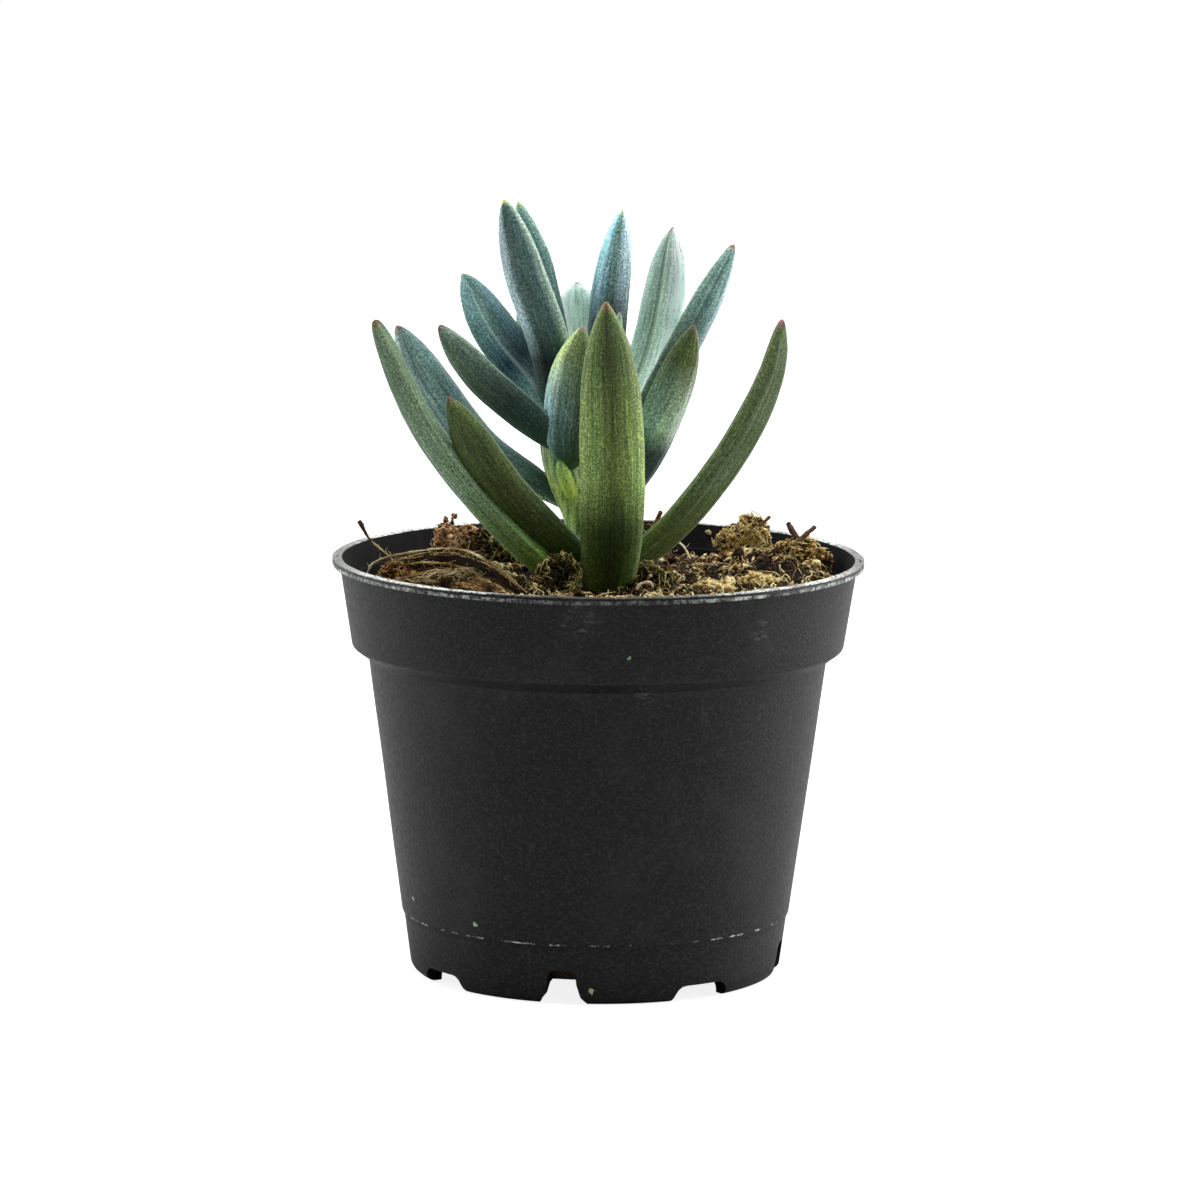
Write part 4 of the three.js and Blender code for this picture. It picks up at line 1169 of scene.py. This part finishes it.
def stem_material():
    s = Surface(
        "stem_skin", Specular_IOR_Level=0.4, Sheen_Weight=0.2, Subsurface_Weight=0.1,
        Subsurface_Scale=0.003, Subsurface_Radius=(0.6, 1.0, 0.3),
    )
    place = s.position()
    # Colour by height, from a brown foot at the mix to greens set bright as painted light where the leaves
    # shade the stem
    color = s.ramp(s.span(s.parts(place)[2], 0.074, 0.112), [
        (0.0, (0.08, 0.06, 0.025)), (0.1, (0.66, 0.84, 0.36)), (0.28, (0.66, 0.84, 0.34)),
        (0.6, (0.56, 0.72, 0.22)), (0.85, (0.6, 0.78, 0.46)), (1.0, (0.45, 0.6, 0.45)),
    ])
    lines = s.noise(s.stretched(place, 1, 1, 0.1), 1100, 3, 0.6)
    speckle = s.noise(place, SPECKLE_SCALE, 3, 0.75)
    s.set("Base Color", s.grained(color, STEM_GRAIN, {"lines": lines, "speckle": speckle}))
    s.set("Roughness", s.span(lines, 0.3, 0.7, 0.5, 0.65))
    s.set("Normal", s.bump(lines, 0.12, 0.7, s.bump(speckle, 0.05, 0.5)))
    return s.material


ROOT_HAIRS = 40
HAIR_ROWS = 7


def make_roots():
    material = earth_material("root_skin", PALE_STOPS, 900)
    for k, (name, (points, radii)) in enumerate(ROOTS.items()):
        build = Build()
        add_branch(build, points, radii, 50, 14, 0.16, 80 + k, 1.6, tone=0.6)
        random = np.random.default_rng(90 + k)
        places, _ = curve_through(points, random.uniform(0.1, 0.95, ROOT_HAIRS))
        heading = unit(random.normal(size=(ROOT_HAIRS, 3)) + (0, 0, -0.6))
        curl = random.normal(size=(ROOT_HAIRS, 1, 3)) * 0.8
        share = np.linspace(0, 1, HAIR_ROWS)
        step = share[None, :, None]
        paths = places[:, None] + heading[:, None] * step * 5 + curl * step**2
        thin = 0.16 * (1 - 0.6 * share)[None].repeat(ROOT_HAIRS, 0)
        add_strands(build, paths, thin, 6, tone=random.uniform(0.4, 0.9, ROOT_HAIRS))
        place_piece(build.mesh_object("grown_" + name), material, "root", name)


# Potting mix and what lies in it. Stops run from the darkest shade of a material to its palest.
EARTH_STOPS = [
    (0.0, (0.006, 0.004, 0.002)), (0.3, (0.026, 0.014, 0.007)), (0.5, (0.12, 0.062, 0.025)),
    (0.7, (0.48, 0.29, 0.105)), (1.0, (1.0, 0.86, 0.47)),
]
PALE_STOPS = [(0.0, (0.12, 0.065, 0.02)), (0.5, (0.46, 0.33, 0.14)), (1.0, (0.88, 0.77, 0.48))]
# The materials of the litter: the size of their blotches, then their stops
LITTER_SKINS = {
    "red_brown_moss": (700, [
        (0.0, (0.03, 0.01, 0.005)), (0.4, (0.21, 0.085, 0.038)), (0.75, (0.56, 0.3, 0.14)),
        (1.0, (0.95, 0.66, 0.38)),
    ]),
    "olive_moss": (600, [
        (0.0, (0.008, 0.007, 0.003)), (0.4, (0.06, 0.048, 0.012)), (0.75, (0.3, 0.23, 0.07)),
        (1.0, (0.72, 0.62, 0.26)),
    ]),
    "matted_coir": (700, [
        (0.0, (0.012, 0.007, 0.003)), (0.35, (0.13, 0.07, 0.02)), (0.65, (0.56, 0.35, 0.105)),
        (1.0, (1.0, 0.82, 0.4)),
    ]),
    "dry_straw": (800, PALE_STOPS),
    "twig_bark": (900, [
        (0.0, (0.02, 0.01, 0.007)), (0.5, (0.09, 0.045, 0.028)), (1.0, (0.34, 0.22, 0.14)),
    ]),
    "husk_fibre": (500, [
        (0.0, (0.012, 0.007, 0.003)), (0.35, (0.1, 0.052, 0.016)), (0.65, (0.36, 0.21, 0.065)),
        (1.0, (0.8, 0.62, 0.28)),
    ]),
    "rusty_fibre": (600, [
        (0.0, (0.02, 0.008, 0.004)), (0.4, (0.15, 0.058, 0.018)), (0.75, (0.5, 0.24, 0.08)),
        (1.0, (0.95, 0.62, 0.28)),
    ]),
}
BED_ROWS = 96
BED_SIDES = 220


def earth_material(name, stops, scale):
    s = Surface(name, Specular_IOR_Level=0.15)
    place = s.position()
    blotch = s.noise(place, scale, 4, 0.65)
    grain = s.noise(place, 3000, 3, 0.75)
    tone = s.plus(s.attribute("tone"), s.times(s.minus(blotch, 0.5), 0.9))
    tone = s.math("ADD", tone, s.times(s.minus(grain, 0.5), 0.7), clamp=True)
    s.set("Base Color", s.ramp(tone, stops))
    s.set("Roughness", s.span(grain, 0.3, 0.7, 0.8, 0.97))
    s.set("Normal", s.bump(blotch, 0.4, 0.8, s.bump(grain, 0.14, 0.9)))
    return s.material


def mix_level(x, y):
    from_wall = MIX_EDGE_RADIUS + 0.4 - np.hypot(x, y)
    level = MIX_EDGE_LEVEL + (MIX_LEVEL - MIX_EDGE_LEVEL) * smoothstep(0, MIX_EDGE_WIDTH, from_wall)
    for mx, my, spread, rise in MOUNDS:
        level = level + rise * np.exp(-((x - mx) ** 2 + (y - my) ** 2) / (2 * spread**2))
    return level


def clods(x, y):
    """The broken surface of the mix above its general level."""
    flat = np.stack([x, y, np.zeros_like(x)], -1)
    big = 1 - 2 * np.abs(layered_noise(flat, 7, 21, 2)) ** 0.8
    small = 1 - 2 * np.abs(noise(flat, 2.6, 25)) ** 0.8
    fine = layered_noise(flat, 1.1, 27, 2)
    inside = smoothstep(0, 3, MIX_EDGE_RADIUS - np.hypot(x, y))
    return (0.75 * big + 0.42 * small + 0.2 * fine - 0.2) * (0.35 + 0.65 * inside)


def surface_level(x, y):
    return mix_level(x, y) + clods(x, y)


def make_bed():
    radius = MIX_EDGE_RADIUS * np.linspace(0.004, 1, BED_ROWS) ** 0.85
    angle = FULL_TURN * np.arange(BED_SIDES) / BED_SIDES
    r, a = np.meshgrid(radius, angle, indexing="ij")
    x, y = r * np.cos(a), r * np.sin(a)
    top = np.stack([x, y, surface_level(x, y)], -1)
    # Painted shade and light: the tone follows the clods, darker where they lie low and lighter on their
    # tops, and stays low overall as shade under the crumbs and fibres
    tone = np.clip(0.12 + 0.24 * clods(x, y) + 0.1 * noise(top, 5, 33), 0.0, 0.6)
    inset = WALL + MIX_GAP
    floor = FLOOR_TOP_Z + MIX_GAP
    under = filled(np.array([
        (MIX_EDGE_RADIUS, MIX_EDGE_LEVEL - 1),
        (COLLAR_FOOT_RADIUS - inset, COLLAR_FOOT_Z),
        (WALL_TOP_RADIUS - inset, WALL_TOP_Z + WALL / 2),
        (WALL_FOOT_RADIUS - STEP_DEPTH - inset, STEP_Z),
        (BAND_FOOT_RADIUS - inset, floor),
        (20, floor),
    ], float), 4)
    out, level = under[:, :1], under[:, 1:]
    lower = np.stack([out * np.cos(angle), out * np.sin(angle), level.repeat(BED_SIDES, 1)], -1)
    rings = np.concatenate([top, lower])[::-1]
    tones = np.concatenate([tone, np.full(lower.shape[:2], 0.25)])[::-1]
    build = Build()
    poles = [(0, 0, floor), (0, 0, float(surface_level(np.zeros(1), np.zeros(1))[0]))]
    add_rings(build, rings, poles, tone=tones)
    return build.mesh_object("mix_bed")


def spots_on_mix(random, count, reach=0.985):
    radius = MIX_EDGE_RADIUS * reach * np.sqrt(random.uniform(0, 1, count))
    angle = random.uniform(0, FULL_TURN, count)
    return radius * np.cos(angle), radius * np.sin(angle)


def patch_tone(x, y):
    """Lighter and darker reaches of the mix, with painted light that brightens its right side: the tone
    for anything that lies there.
    """
    flat = np.stack([x, y, np.zeros_like(x)], -1)
    sunny = 0.08 * smoothstep(0, 22, x)
    return 0.3 * noise(flat, 9, 51) + 0.42 * noise(flat, 3.2, 52) + sunny


def make_crumbs(name, seed, count, sizes, tones, level, rough):
    random = np.random.default_rng(seed)
    x, y = spots_on_mix(random, count, 0.97)
    small, large = sizes
    size = small + (large - small) * random.uniform(0, 1, count) ** 2.4
    rise = random.uniform(-0.2, 0.7, count)
    z = surface_level(x, y) + size * rise
    radii = size[:, None] * random.uniform([0.7, 0.5, 0.35], [1.5, 1.0, 0.8], (count, 3))
    # Crumbs that sit lower in the mix are darker and raised ones lighter, as painted shade
    tone = np.maximum(random.uniform(*tones, count) + 0.45 * rise + patch_tone(x, y), 0.2)
    build = Build()
    add_crumbs(build, random, np.stack([x, y, z], -1), radii, level, rough, tone)
    return build.mesh_object(name)


def fibre_paths(random, x, y, length, rows, lift, curl):
    """Loose fibres from each spot: a wandering line over the mix, with its middle lifted."""
    count = len(x)
    step = np.linspace(-0.5, 0.5, rows)[None]
    heading = random.uniform(0, FULL_TURN, (count, 1))
    waves = np.sin(step * 9 + random.uniform(0, 6, (count, 1)))
    bend = random.normal(0, curl, (count, 1)) * 2 * step
    angle = heading + bend + random.normal(0, curl, (count, 1)) * waves
    length = length[:, None]
    stride = length / (rows - 1)
    px = x[:, None] + np.cumsum(np.cos(angle) * stride, 1) - length * np.cos(heading) * 0.5
    py = y[:, None] + np.cumsum(np.sin(angle) * stride, 1) - length * np.sin(heading) * 0.5
    draw = np.minimum(1, MIX_EDGE_RADIUS * 0.985 / np.maximum(np.hypot(px, py), 1e-6))
    px, py = px * draw, py * draw
    arch = np.cos(step * math.pi) * lift[:, None]
    ground = mix_level(px, py) + 0.7 * clods(px, py)
    wag = 0.18 * np.sin(step * 14 + random.uniform(0, 6, (count, 1)))
    return np.stack([px, py, ground + arch + wag + random.uniform(0.0, 0.6, (count, 1))], -1)


def make_fibres(name, seed, count, lengths, thickness, lift, tones, rows, curl):
    random = np.random.default_rng(seed)
    x, y = spots_on_mix(random, count)
    length = random.uniform(*lengths, count)
    rise = random.uniform(0, 1, count)
    paths = fibre_paths(random, x, y, length, rows, lift * rise, curl)
    taper = 0.45 + 0.55 * np.sin(np.linspace(0.15, math.pi - 0.15, rows))
    radii = random.uniform(*thickness, count)[:, None] * taper[None]
    build = Build()
    # Fibres lifted higher are lighter and low ones darker, as painted shade
    tone = random.uniform(*tones, count) + 0.4 * rise + patch_tone(x, y)
    add_strands(build, paths, radii, 3, 0.6, tone=np.clip(tone, 0, TONE_TOP))
    return build.mesh_object(name)


def make_mix():
    earth = earth_material("peat_and_coir", EARTH_STOPS, 420)
    place_piece(make_bed(), earth, "potting_mix", "potting_mix")
    for piece in (
        make_crumbs("mix_clods", 101, 200, (0.7, 1.7), (-0.1, 0.55), 3, 0.8),
        make_crumbs("mix_crumbs", 102, 900, (0.25, 0.8), (-0.1, 0.8), 2, 0.75),
        make_fibres("mix_shreds", 104, 2100, (0.9, 2.8), (0.12, 0.34), 0.9, (-0.15, 0.8), 6, 1.0),
        make_fibres("mix_coir", 103, 700, (3, 9), (0.06, 0.14), 1.0, (0.2, 0.9), 9, 0.7),
    ):
        place_piece(piece, earth, "potting_mix")


# Tufts. Each row: name, material, slot, seed, count and thickness of the strands, range of shades,
# number of crumbs, looseness, then the lobes as centre and radii. A name that ends in _fine stands
# for the node that it is named after.
def pale_crumb(name, seed, place, radii):
    """A row for a crumb of three lobes side by side."""
    x, y, z = place
    a, b, c = radii
    lobes = [
        ((x, y, z), (a * 0.6, b, c)), ((x - a * 0.6, y, z - 0.3), (a * 0.4, b * 0.7, c * 0.7)),
        ((x + a * 0.6, y, z - 0.2), (a * 0.45, b * 0.7, c * 0.8)),
    ]
    return name, "matted_coir", "coir_fibre", seed, 230, (0.1, 0.24), (0.65, 1.15), 80, 0.22, lobes


TUFTS = (
    ("moss_tuft_fine", "red_brown_moss", "coir_fibre", 201, 760, (0.08, 0.19), (0.2, 0.95), 150, 0.22, [
        ((-29.2, 25, 80.9), (4.0, 3.2, 2.7)), ((-30.6, 25, 83.3), (1.9, 1.9, 2.0)),
        ((-26.2, 24.6, 82.6), (2.2, 2, 2.2)), ((-30.8, 25, 85.9), (0.55, 0.55, 0.8)),
        ((-29, 25, 86.6), (0.7, 0.6, 0.6)), ((-29.4, 25, 85.4), (0.4, 0.4, 1.2)),
    ]),
    ("moss_tuft_side_fine", "olive_moss", "coir_fibre", 202, 520, (0.08, 0.2), (0.0, 0.7), 110, 0.22, [
        ((-21.4, 23, 80.4), (3.0, 2.8, 2.8)), ((-23.6, 23.4, 82.6), (1.8, 1.8, 1.9)),
        ((-18.8, 22.6, 78.6), (2.2, 2, 1.8)),
    ]),
    ("coir_clump_fine", "matted_coir", "coir_fibre", 203, 1250, (0.07, 0.18), (0.2, 1.15), 190, 0.22, [
        ((31.0, 28, 83.4), (3.1, 3.2, 3.4)), ((27.8, 27, 82.9), (2.6, 2.6, 2.4)),
        ((25.6, 26.4, 81.8), (2.2, 2.2, 1.9)), ((32.8, 27.4, 81.6), (1.9, 2.4, 2.2)),
        ((29.8, 28, 85.7), (1.8, 1.6, 1.4)), ((29.6, 28, 79.6), (5.0, 4.2, 2.2)),
    ]),
    ("stem_foot_clump_fine", "olive_moss", "coir_fibre", 204, 640, (0.08, 0.22), (0.25, 1.05), 110, 0.22, [
        ((-8.4, -10.4, 79.2), (4.3, 2.6, 3.0)), ((-9.2, -9.8, 82.4), (2.4, 1.9, 1.9)),
        ((-6.6, -9.6, 83.0), (1.8, 1.7, 1.9)), ((-5.0, -9.2, 80.4), (1.9, 1.8, 2.6)),
        ((-12.0, -10.8, 77.4), (1.9, 2.0, 1.5)), ((-10.6, -10.4, 80.8), (1.6, 1.6, 1.6)),
    ]),
    pale_crumb("pale_crumb_middle_fine", 205, (31, 0.4, 77.9), (3.6, 2.2, 1.5)),
    pale_crumb("pale_crumb_front_fine", 206, (22, -6, 77.4), (4.0, 2.0, 1.3)),
    pale_crumb("pale_crumb_left_fine", 207, (-24, -7, 77.8), (3.2, 2.0, 1.4)),
    ("bark_chip_back_fine", "twig_bark", "twig_wood", 208, 120, (0.1, 0.3), (0.2, 0.9), 40, 0.22, [
        ((8, 34, 77.6), (4, 2.4, 1.3)),
    ]),
    ("heap_under_twigs", "matted_coir", "potting_mix", 211, 620, (0.09, 0.22), (0.0, 0.8), 130, 0.22, [
        ((41, 17, 80.9), (3.4, 3, 2.9)), ((37.4, 18, 80.8), (2.3, 2.4, 2.4)),
        ((44, 14, 80.0), (2.7, 2.6, 2.2)),
    ]),
    ("fibre_knot_left", "rusty_fibre", "potting_mix", 212, 240, (0.07, 0.16), (0.1, 0.85), 30, 0.5, [
        ((-40.4, 0, 79.2), (2.2, 1.6, 1.5)), ((-37.6, -2, 78.4), (1.6, 1.4, 1.2)),
    ]),
    ("heap_by_long_leaf", "olive_moss", "potting_mix", 214, 420, (0.07, 0.18), (0.0, 0.85), 110, 0.22, [
        ((9.4, -6, 78.4), (3.4, 2.4, 3.8)), ((12.6, -5.4, 78), (2.6, 2.2, 3.2)),
        ((6.6, -7, 77.6), (2.2, 2, 3)),
    ]),
    ("moss_by_upright_twig", "olive_moss", "potting_mix", 215, 260, (0.07, 0.16), (0.2, 1.0), 40, 0.4, [
        ((8.8, 14.4, 79.5), (2.4, 2.2, 4.4)), ((9.8, 14.2, 84.5), (1.5, 1.4, 2.4)),
    ]),
    ("curls_left", "dry_straw", "potting_mix", 213, 330, (0.09, 0.2), (0.1, 1.1), 50, 0.6, [
        ((-30.8, -9, 79.3), (2.6, 1.6, 1.2)), ((-26.4, -9.6, 79.8), (2.8, 1.6, 1.3)),
        ((-23, -10, 79.3), (1.8, 1.5, 1.1)),
    ]),
)
TUFT_ROWS = 16
TUFT_SIDES = 26
TUFT_STRAND_ROWS = 8
TUFT_GRAIN = (0.2, 0.6)
# Painted shade in a hollow at the front of a tuft: x, z, radius
HOLLOW_PAINTED_SHADE = {"stem_foot_clump_fine": (-7.4, 80.6, 2.2)}


def surface_walk(random, count, rows, step, turn):
    """Wandering lines on the unit ball, for strands that wrap a tuft."""
    here = unit(random.normal(size=(count, 3)))
    heading = unit(np.cross(here, random.normal(size=(count, 3))))
    path = [here]
    for _ in range(rows - 1):
        side = np.cross(here, heading)
        heading = unit(heading + side * random.normal(0, turn, (count, 1)))
        here = unit(here + heading * step)
        heading = unit(heading - (heading * here).sum(-1, keepdims=True) * here)
        path.append(here)
    return np.stack(path, 1)


def place_fine(build, name, material, slot):
    nodes = [name.removesuffix("_fine")] if name.endswith("_fine") else []
    place_piece(build.mesh_object(name), material, slot, *nodes)


def make_tuft(name, material, slot, seed, strands, thickness, tones, crumbs, loft, lobes):
    """A clump of lobes: lumpy cores wrapped in strands, with crumbs on them."""
    random = np.random.default_rng(seed)

    # Painted shade: darker tones in the tuft's hollow
    def shade(points):
        if name not in HOLLOW_PAINTED_SHADE:
            return np.zeros(points.shape[:-1])
        x, z, radius = HOLLOW_PAINTED_SHADE[name]
        off = np.hypot(points[..., 0] - x, points[..., 2] - z) / radius
        return -0.8 * np.exp(-(off**4))

    centres = np.array([centre for centre, _ in lobes], float)
    sizes = np.array([radii for _, radii in lobes], float)
    build = Build()
    polar = math.pi * np.arange(1, TUFT_ROWS + 1) / (TUFT_ROWS + 1)
    round_axis = FULL_TURN * np.arange(TUFT_SIDES) / TUFT_SIDES
    p, a = np.meshgrid(polar[::-1], round_axis, indexing="ij")
    ball = np.stack([np.sin(p) * np.cos(a), np.sin(p) * np.sin(a), np.cos(p)], -1)
    for centre, radii in zip(centres, sizes):
        dent = layered_noise(centre + ball * radii, 1.7, seed, 3)
        core = centre + ball * radii * (0.82 + 0.13 * dent)[..., None]
        ends = centre + np.array([(0, 0, -0.8), (0, 0, 0.8)]) * radii
        # The cores' dents get darker tones, as painted shade
        add_rings(build, core, ends, tone=np.clip(tones[0] + 0.25 * dent + shade(core), 0, 1))
    areas = (sizes.prod(1)) ** (2 / 3)
    pick = random.choice(len(lobes), strands, p=areas / areas.sum())
    rows = TUFT_STRAND_ROWS
    walk = surface_walk(random, strands, rows, random.uniform(0.08, 0.2, (strands, 1)), 0.6)
    level = random.uniform(-0.3, 1.0, (strands, 1))
    loose = (random.uniform(0, 1, (strands, 1)) < 0.12) * np.linspace(0, 0.28, rows)
    swell = 0.86 + loft * level + loose + 0.05 * random.normal(size=(strands, rows))
    paths = centres[pick][:, None] + walk * sizes[pick][:, None] * swell[..., None]
    middle = paths[:, rows // 2]
    depth = (((middle[:, None] - centres) / sizes) ** 2).sum(-1).min(1)
    keep = depth > 0.62
    taper = 0.4 + 0.6 * np.sin(np.linspace(0.1, math.pi - 0.1, rows))
    thick = random.uniform(*thickness, strands)[:, None] * taper
    # Strands that lie deeper in the tuft get darker tones, as painted shade
    tone = random.uniform(*tones, strands) + 0.6 * (level[:, 0] - 0.4) + shade(middle)
    add_strands(build, paths[keep], thick[keep], 3, 0.7, tone=np.clip(tone, 0, TONE_TOP)[keep])
    pick = random.choice(len(lobes), crumbs, p=areas / areas.sum())
    spots = unit(random.normal(size=(crumbs, 3)))
    grains = centres[pick] + spots * sizes[pick] * random.uniform(0.84, 1.04, (crumbs, 1))
    size = random.uniform(*TUFT_GRAIN, crumbs)[:, None] * random.uniform(0.5, 1.3, (crumbs, 3))
    tone = random.uniform(*tones, crumbs) + shade(grains)
    add_crumbs(build, random, grains, size, 2, 0.7, tone)
    place_fine(build, name, material, slot)


# Twigs, straws and root ends. Each row: name, material, slot, roughness, shade, number of frayed
# fibres, rows and sides of the mesh, radii, then the points that it runs through. A shade may be
# a function of the share of the length.
STALK_SEED = 301
STALKS = (
    ("leaning_twig_fine", "dry_straw", "twig_wood", 0.4,
     lambda t: 0.8 - 0.95 * smoothstep(0.62, 0.74, t), 12, 60, 12, (0.28, 0.18, 0.18, 0.44),
     [(-38.8, 12, 75.4), (-41, 12, 79.6), (-45.6, 12, 83.8), (-47.6, 12, 87.4)]),
    ("clump_twig_fine", "twig_bark", "twig_wood", 0.3, 0.8, 4, 60, 12, (0.4, 0.4, 0.3),
     [(30, 28, 81), (32.6, 27.4, 85), (34.4, 27, 86.8)]),
    ("fork_twig_left_fine", "twig_bark", "twig_wood", 0.35, 0.5, 8, 60, 12, (0.7, 0.72, 0.5),
     [(40.4, 18, 77.4), (39.8, 18.4, 83), (37.8, 19.2, 86.7)]),
    ("fork_twig_right_fine", "twig_bark", "twig_wood", 0.35, 0.6, 8, 60, 12, (0.6, 0.6, 0.42),
     [(40.6, 15.4, 78), (39.9, 15.4, 83.2), (43.2, 16.4, 86.4)]),
    ("upright_twig_fine", "red_brown_moss", "twig_wood", 0.35, 0.5, 24, 60, 12, (0.8, 0.8, 0.45),
     [(8.6, 14.4, 75.4), (10.4, 14.2, 84), (12.3, 14, 89.6)]),
    ("straw_arch_high_fine", "dry_straw", "dry_straw", 0.5,
     lambda t: (0.75 + 0.35 * np.sin(t * 23)) * (1 - 0.5 * smoothstep(0.55, 0.75, t)), 40, 120, 10,
     (0.2, 0.22, 0.24, 0.27, 0.24, 0.2),
     [(-46.6, 6, 75), (-44.8, 6, 79.6), (-38, 5, 82), (-28, 2, 83.4), (-18.6, -12, 81),
      (-12, -14.6, 75.6)]),
    ("straw_arch_low_fine", "matted_coir", "dry_straw", 0.5,
     lambda t: 0.6 + 0.3 * np.sin(t * 19 + 1), 40, 120, 10, (0.18, 0.2, 0.24, 0.24, 0.2),
     [(-43.6, 0, 75), (-40, -0.6, 79.8), (-32, -3, 81.4), (-24, -10, 80.2), (-17, -16, 75.4)]),
    ("straw_back_fine", "dry_straw", "dry_straw", 0.3, 0.7, 12, 100, 10, (0.16, 0.2, 0.2, 0.16),
     [(-42.8, 14, 75.2), (-38, 12.6, 79), (-29.6, 11, 80.6), (-21, 12.6, 76)]),
    ("pale_root_end_fine", "dry_straw", "dry_straw", 0.25, 0.85, 6, 60, 12, (0.25, 0.24, 0.24, 0.18),
     [(13.4, 36, 75.8), (14.4, 34.6, 80.6), (17, 32, 80), (19.2, 29, 76)]),
    ("curled_root_end_fine", "dry_straw", "dry_straw", 0.3, 0.8, 10, 60, 12, (0.36, 0.36, 0.36, 0.3),
     [(7.4, -10.6, 74.4), (8, -10, 78.4), (10.2, -9, 78.6), (10.8, -8.6, 74.4)]),
)
FRAY_ROWS = 6


def make_stalk(name, material, slot, seed, rough, tone, frays, rows, sides, radii, points):
    build = Build()
    add_branch(build, points, radii, rows, sides, rough, seed, 0.9, tone=tone)
    random = np.random.default_rng(seed + 500)
    places, along = curve_through(points, np.sort(random.uniform(0.08, 0.92, frays)))
    heading = unit(along + 0.7 * random.normal(size=(frays, 3)))
    share = np.linspace(0, 1, FRAY_ROWS)
    step = share[None, :, None]
    bend = random.normal(size=(frays, 1, 3)) * 0.5
    length = random.uniform(0.6, 1.8, (frays, 1, 1))
    paths = places[:, None] + heading[:, None] * step * length + bend * step**2
    thin = 0.1 * (1 - 0.6 * share)[None].repeat(frays, 0)
    add_strands(build, paths, thin, 5, tone=random.uniform(0.4, 1.0, frays))
    place_fine(build, name, material, slot)


def make_litter():
    skins = {name: earth_material(name, stops, scale) for name, (scale, stops) in LITTER_SKINS.items()}
    for name, skin, *rest in TUFTS:
        make_tuft(name, skins[skin], *rest)
    for k, (name, skin, slot, *rest) in enumerate(STALKS):
        make_stalk(name, skins[skin], slot, STALK_SEED + k, *rest)
    make_husk(skins["husk_fibre"])
    make_grit(skins["dry_straw"])


LIP_GRAINS = 60
ROUND_GRAINS = 30


def make_grit(material):
    """Pale grit on the pot's lip, most of it at the front, and a flake that sticks to its wall."""
    random = np.random.default_rng(411)
    count = LIP_GRAINS + ROUND_GRAINS
    front = random.uniform(-110, -60, LIP_GRAINS)
    angle = np.radians(np.concatenate([front, random.uniform(-180, 0, ROUND_GRAINS)]))
    radius = random.uniform(COLLAR_TOP_RADIUS - 0.2, RIM_RADIUS - 0.5, count)
    size = random.uniform(0.1, 0.3, count)
    z = POT_HEIGHT - 0.1 + 0.3 * size
    centres = np.stack([radius * np.cos(angle), radius * np.sin(angle), z], -1)
    build = Build()
    radii = size[:, None] * random.uniform(0.6, 1.3, (count, 3))
    add_crumbs(build, random, centres, radii, 2, 0.6, random.uniform(0.3, 1.0, count))
    place_piece(build.mesh_object("rim_grit"), material, "potting_mix")
    build = Build()
    add_crumbs(build, random, [(22.4, 44.2, 80.9)], [(0.7, 0.5, 0.4)], 3, 0.5, 0.5)
    place_piece(build.mesh_object("wall_flake"), material, "potting_mix")


HUSK_OUTER = (
    (-45, 6, 76), (-42.6, 5.4, 79.6), (-37, 4, 81.6), (-28, 1, 82.8), (-18.8, -11, 80.6),
    (-12.6, -14.2, 76),
)
HUSK_INNER = (
    (-41, -8, 76), (-38.5, -9, 77), (-33, -12, 77.6), (-27, -16, 77.8), (-21, -20, 77), (-17, -21, 76),
)
HUSK_STRANDS = 210
HUSK_ROWS = 20


def make_husk(material):
    """The layered husk at the left: long strands that follow its arch, those just under its top edge
    darkened as painted shade.
    """
    random = np.random.default_rng(401)
    outer, inner = np.array(HUSK_OUTER, float), np.array(HUSK_INNER, float)
    build = Build()
    share = np.linspace(0, 1, HUSK_ROWS)
    taper = 0.5 + 0.5 * np.sin(np.linspace(0.2, math.pi - 0.2, HUSK_ROWS))
    for place in np.sort(random.uniform(0, 1, HUSK_STRANDS) ** 1.3):
        line, _ = curve_through(outer * (1 - place) + inner * place, share)
        start = random.uniform(0, 0.6)
        end = min(1.0, start + random.uniform(0.25, 0.7))
        at = np.linspace(start, end, HUSK_ROWS)
        cut = np.stack([np.interp(at, share, line[:, k]) for k in range(3)], -1)
        wander = 0.45 * layered_noise(cut + random.uniform(-60, 60, 3), 2.4, 7, 3)
        cut = cut + np.stack([wander * 0.3, wander, wander * 0.8 - 0.5 * place], -1)
        radius = random.uniform(0.07, 0.2) * taper
        # Painted shade on the strands just under the husk's top edge
        husk_painted_shade = smoothstep(0.06, 0.12, place) * smoothstep(0.46, 0.3, place)
        tone = random.uniform(0.0, 1.0) ** 1.3 * (1 - 0.95 * husk_painted_shade) * 1.25 - 0.05
        add_strands(build, cut[None], radius[None], 4, 0.7, tone=[tone])
    place_piece(build.mesh_object("husk_strands"), material, "dry_straw")


make_camera()
make_world()
make_floor()
for name, box in SOFTBOXES.items():
    add_softbox(name, *box)
bpy.context.scene.view_settings.view_transform = "Standard"

make_pot()
make_stem()
make_leaves()
make_roots()
make_mix()
make_litter()
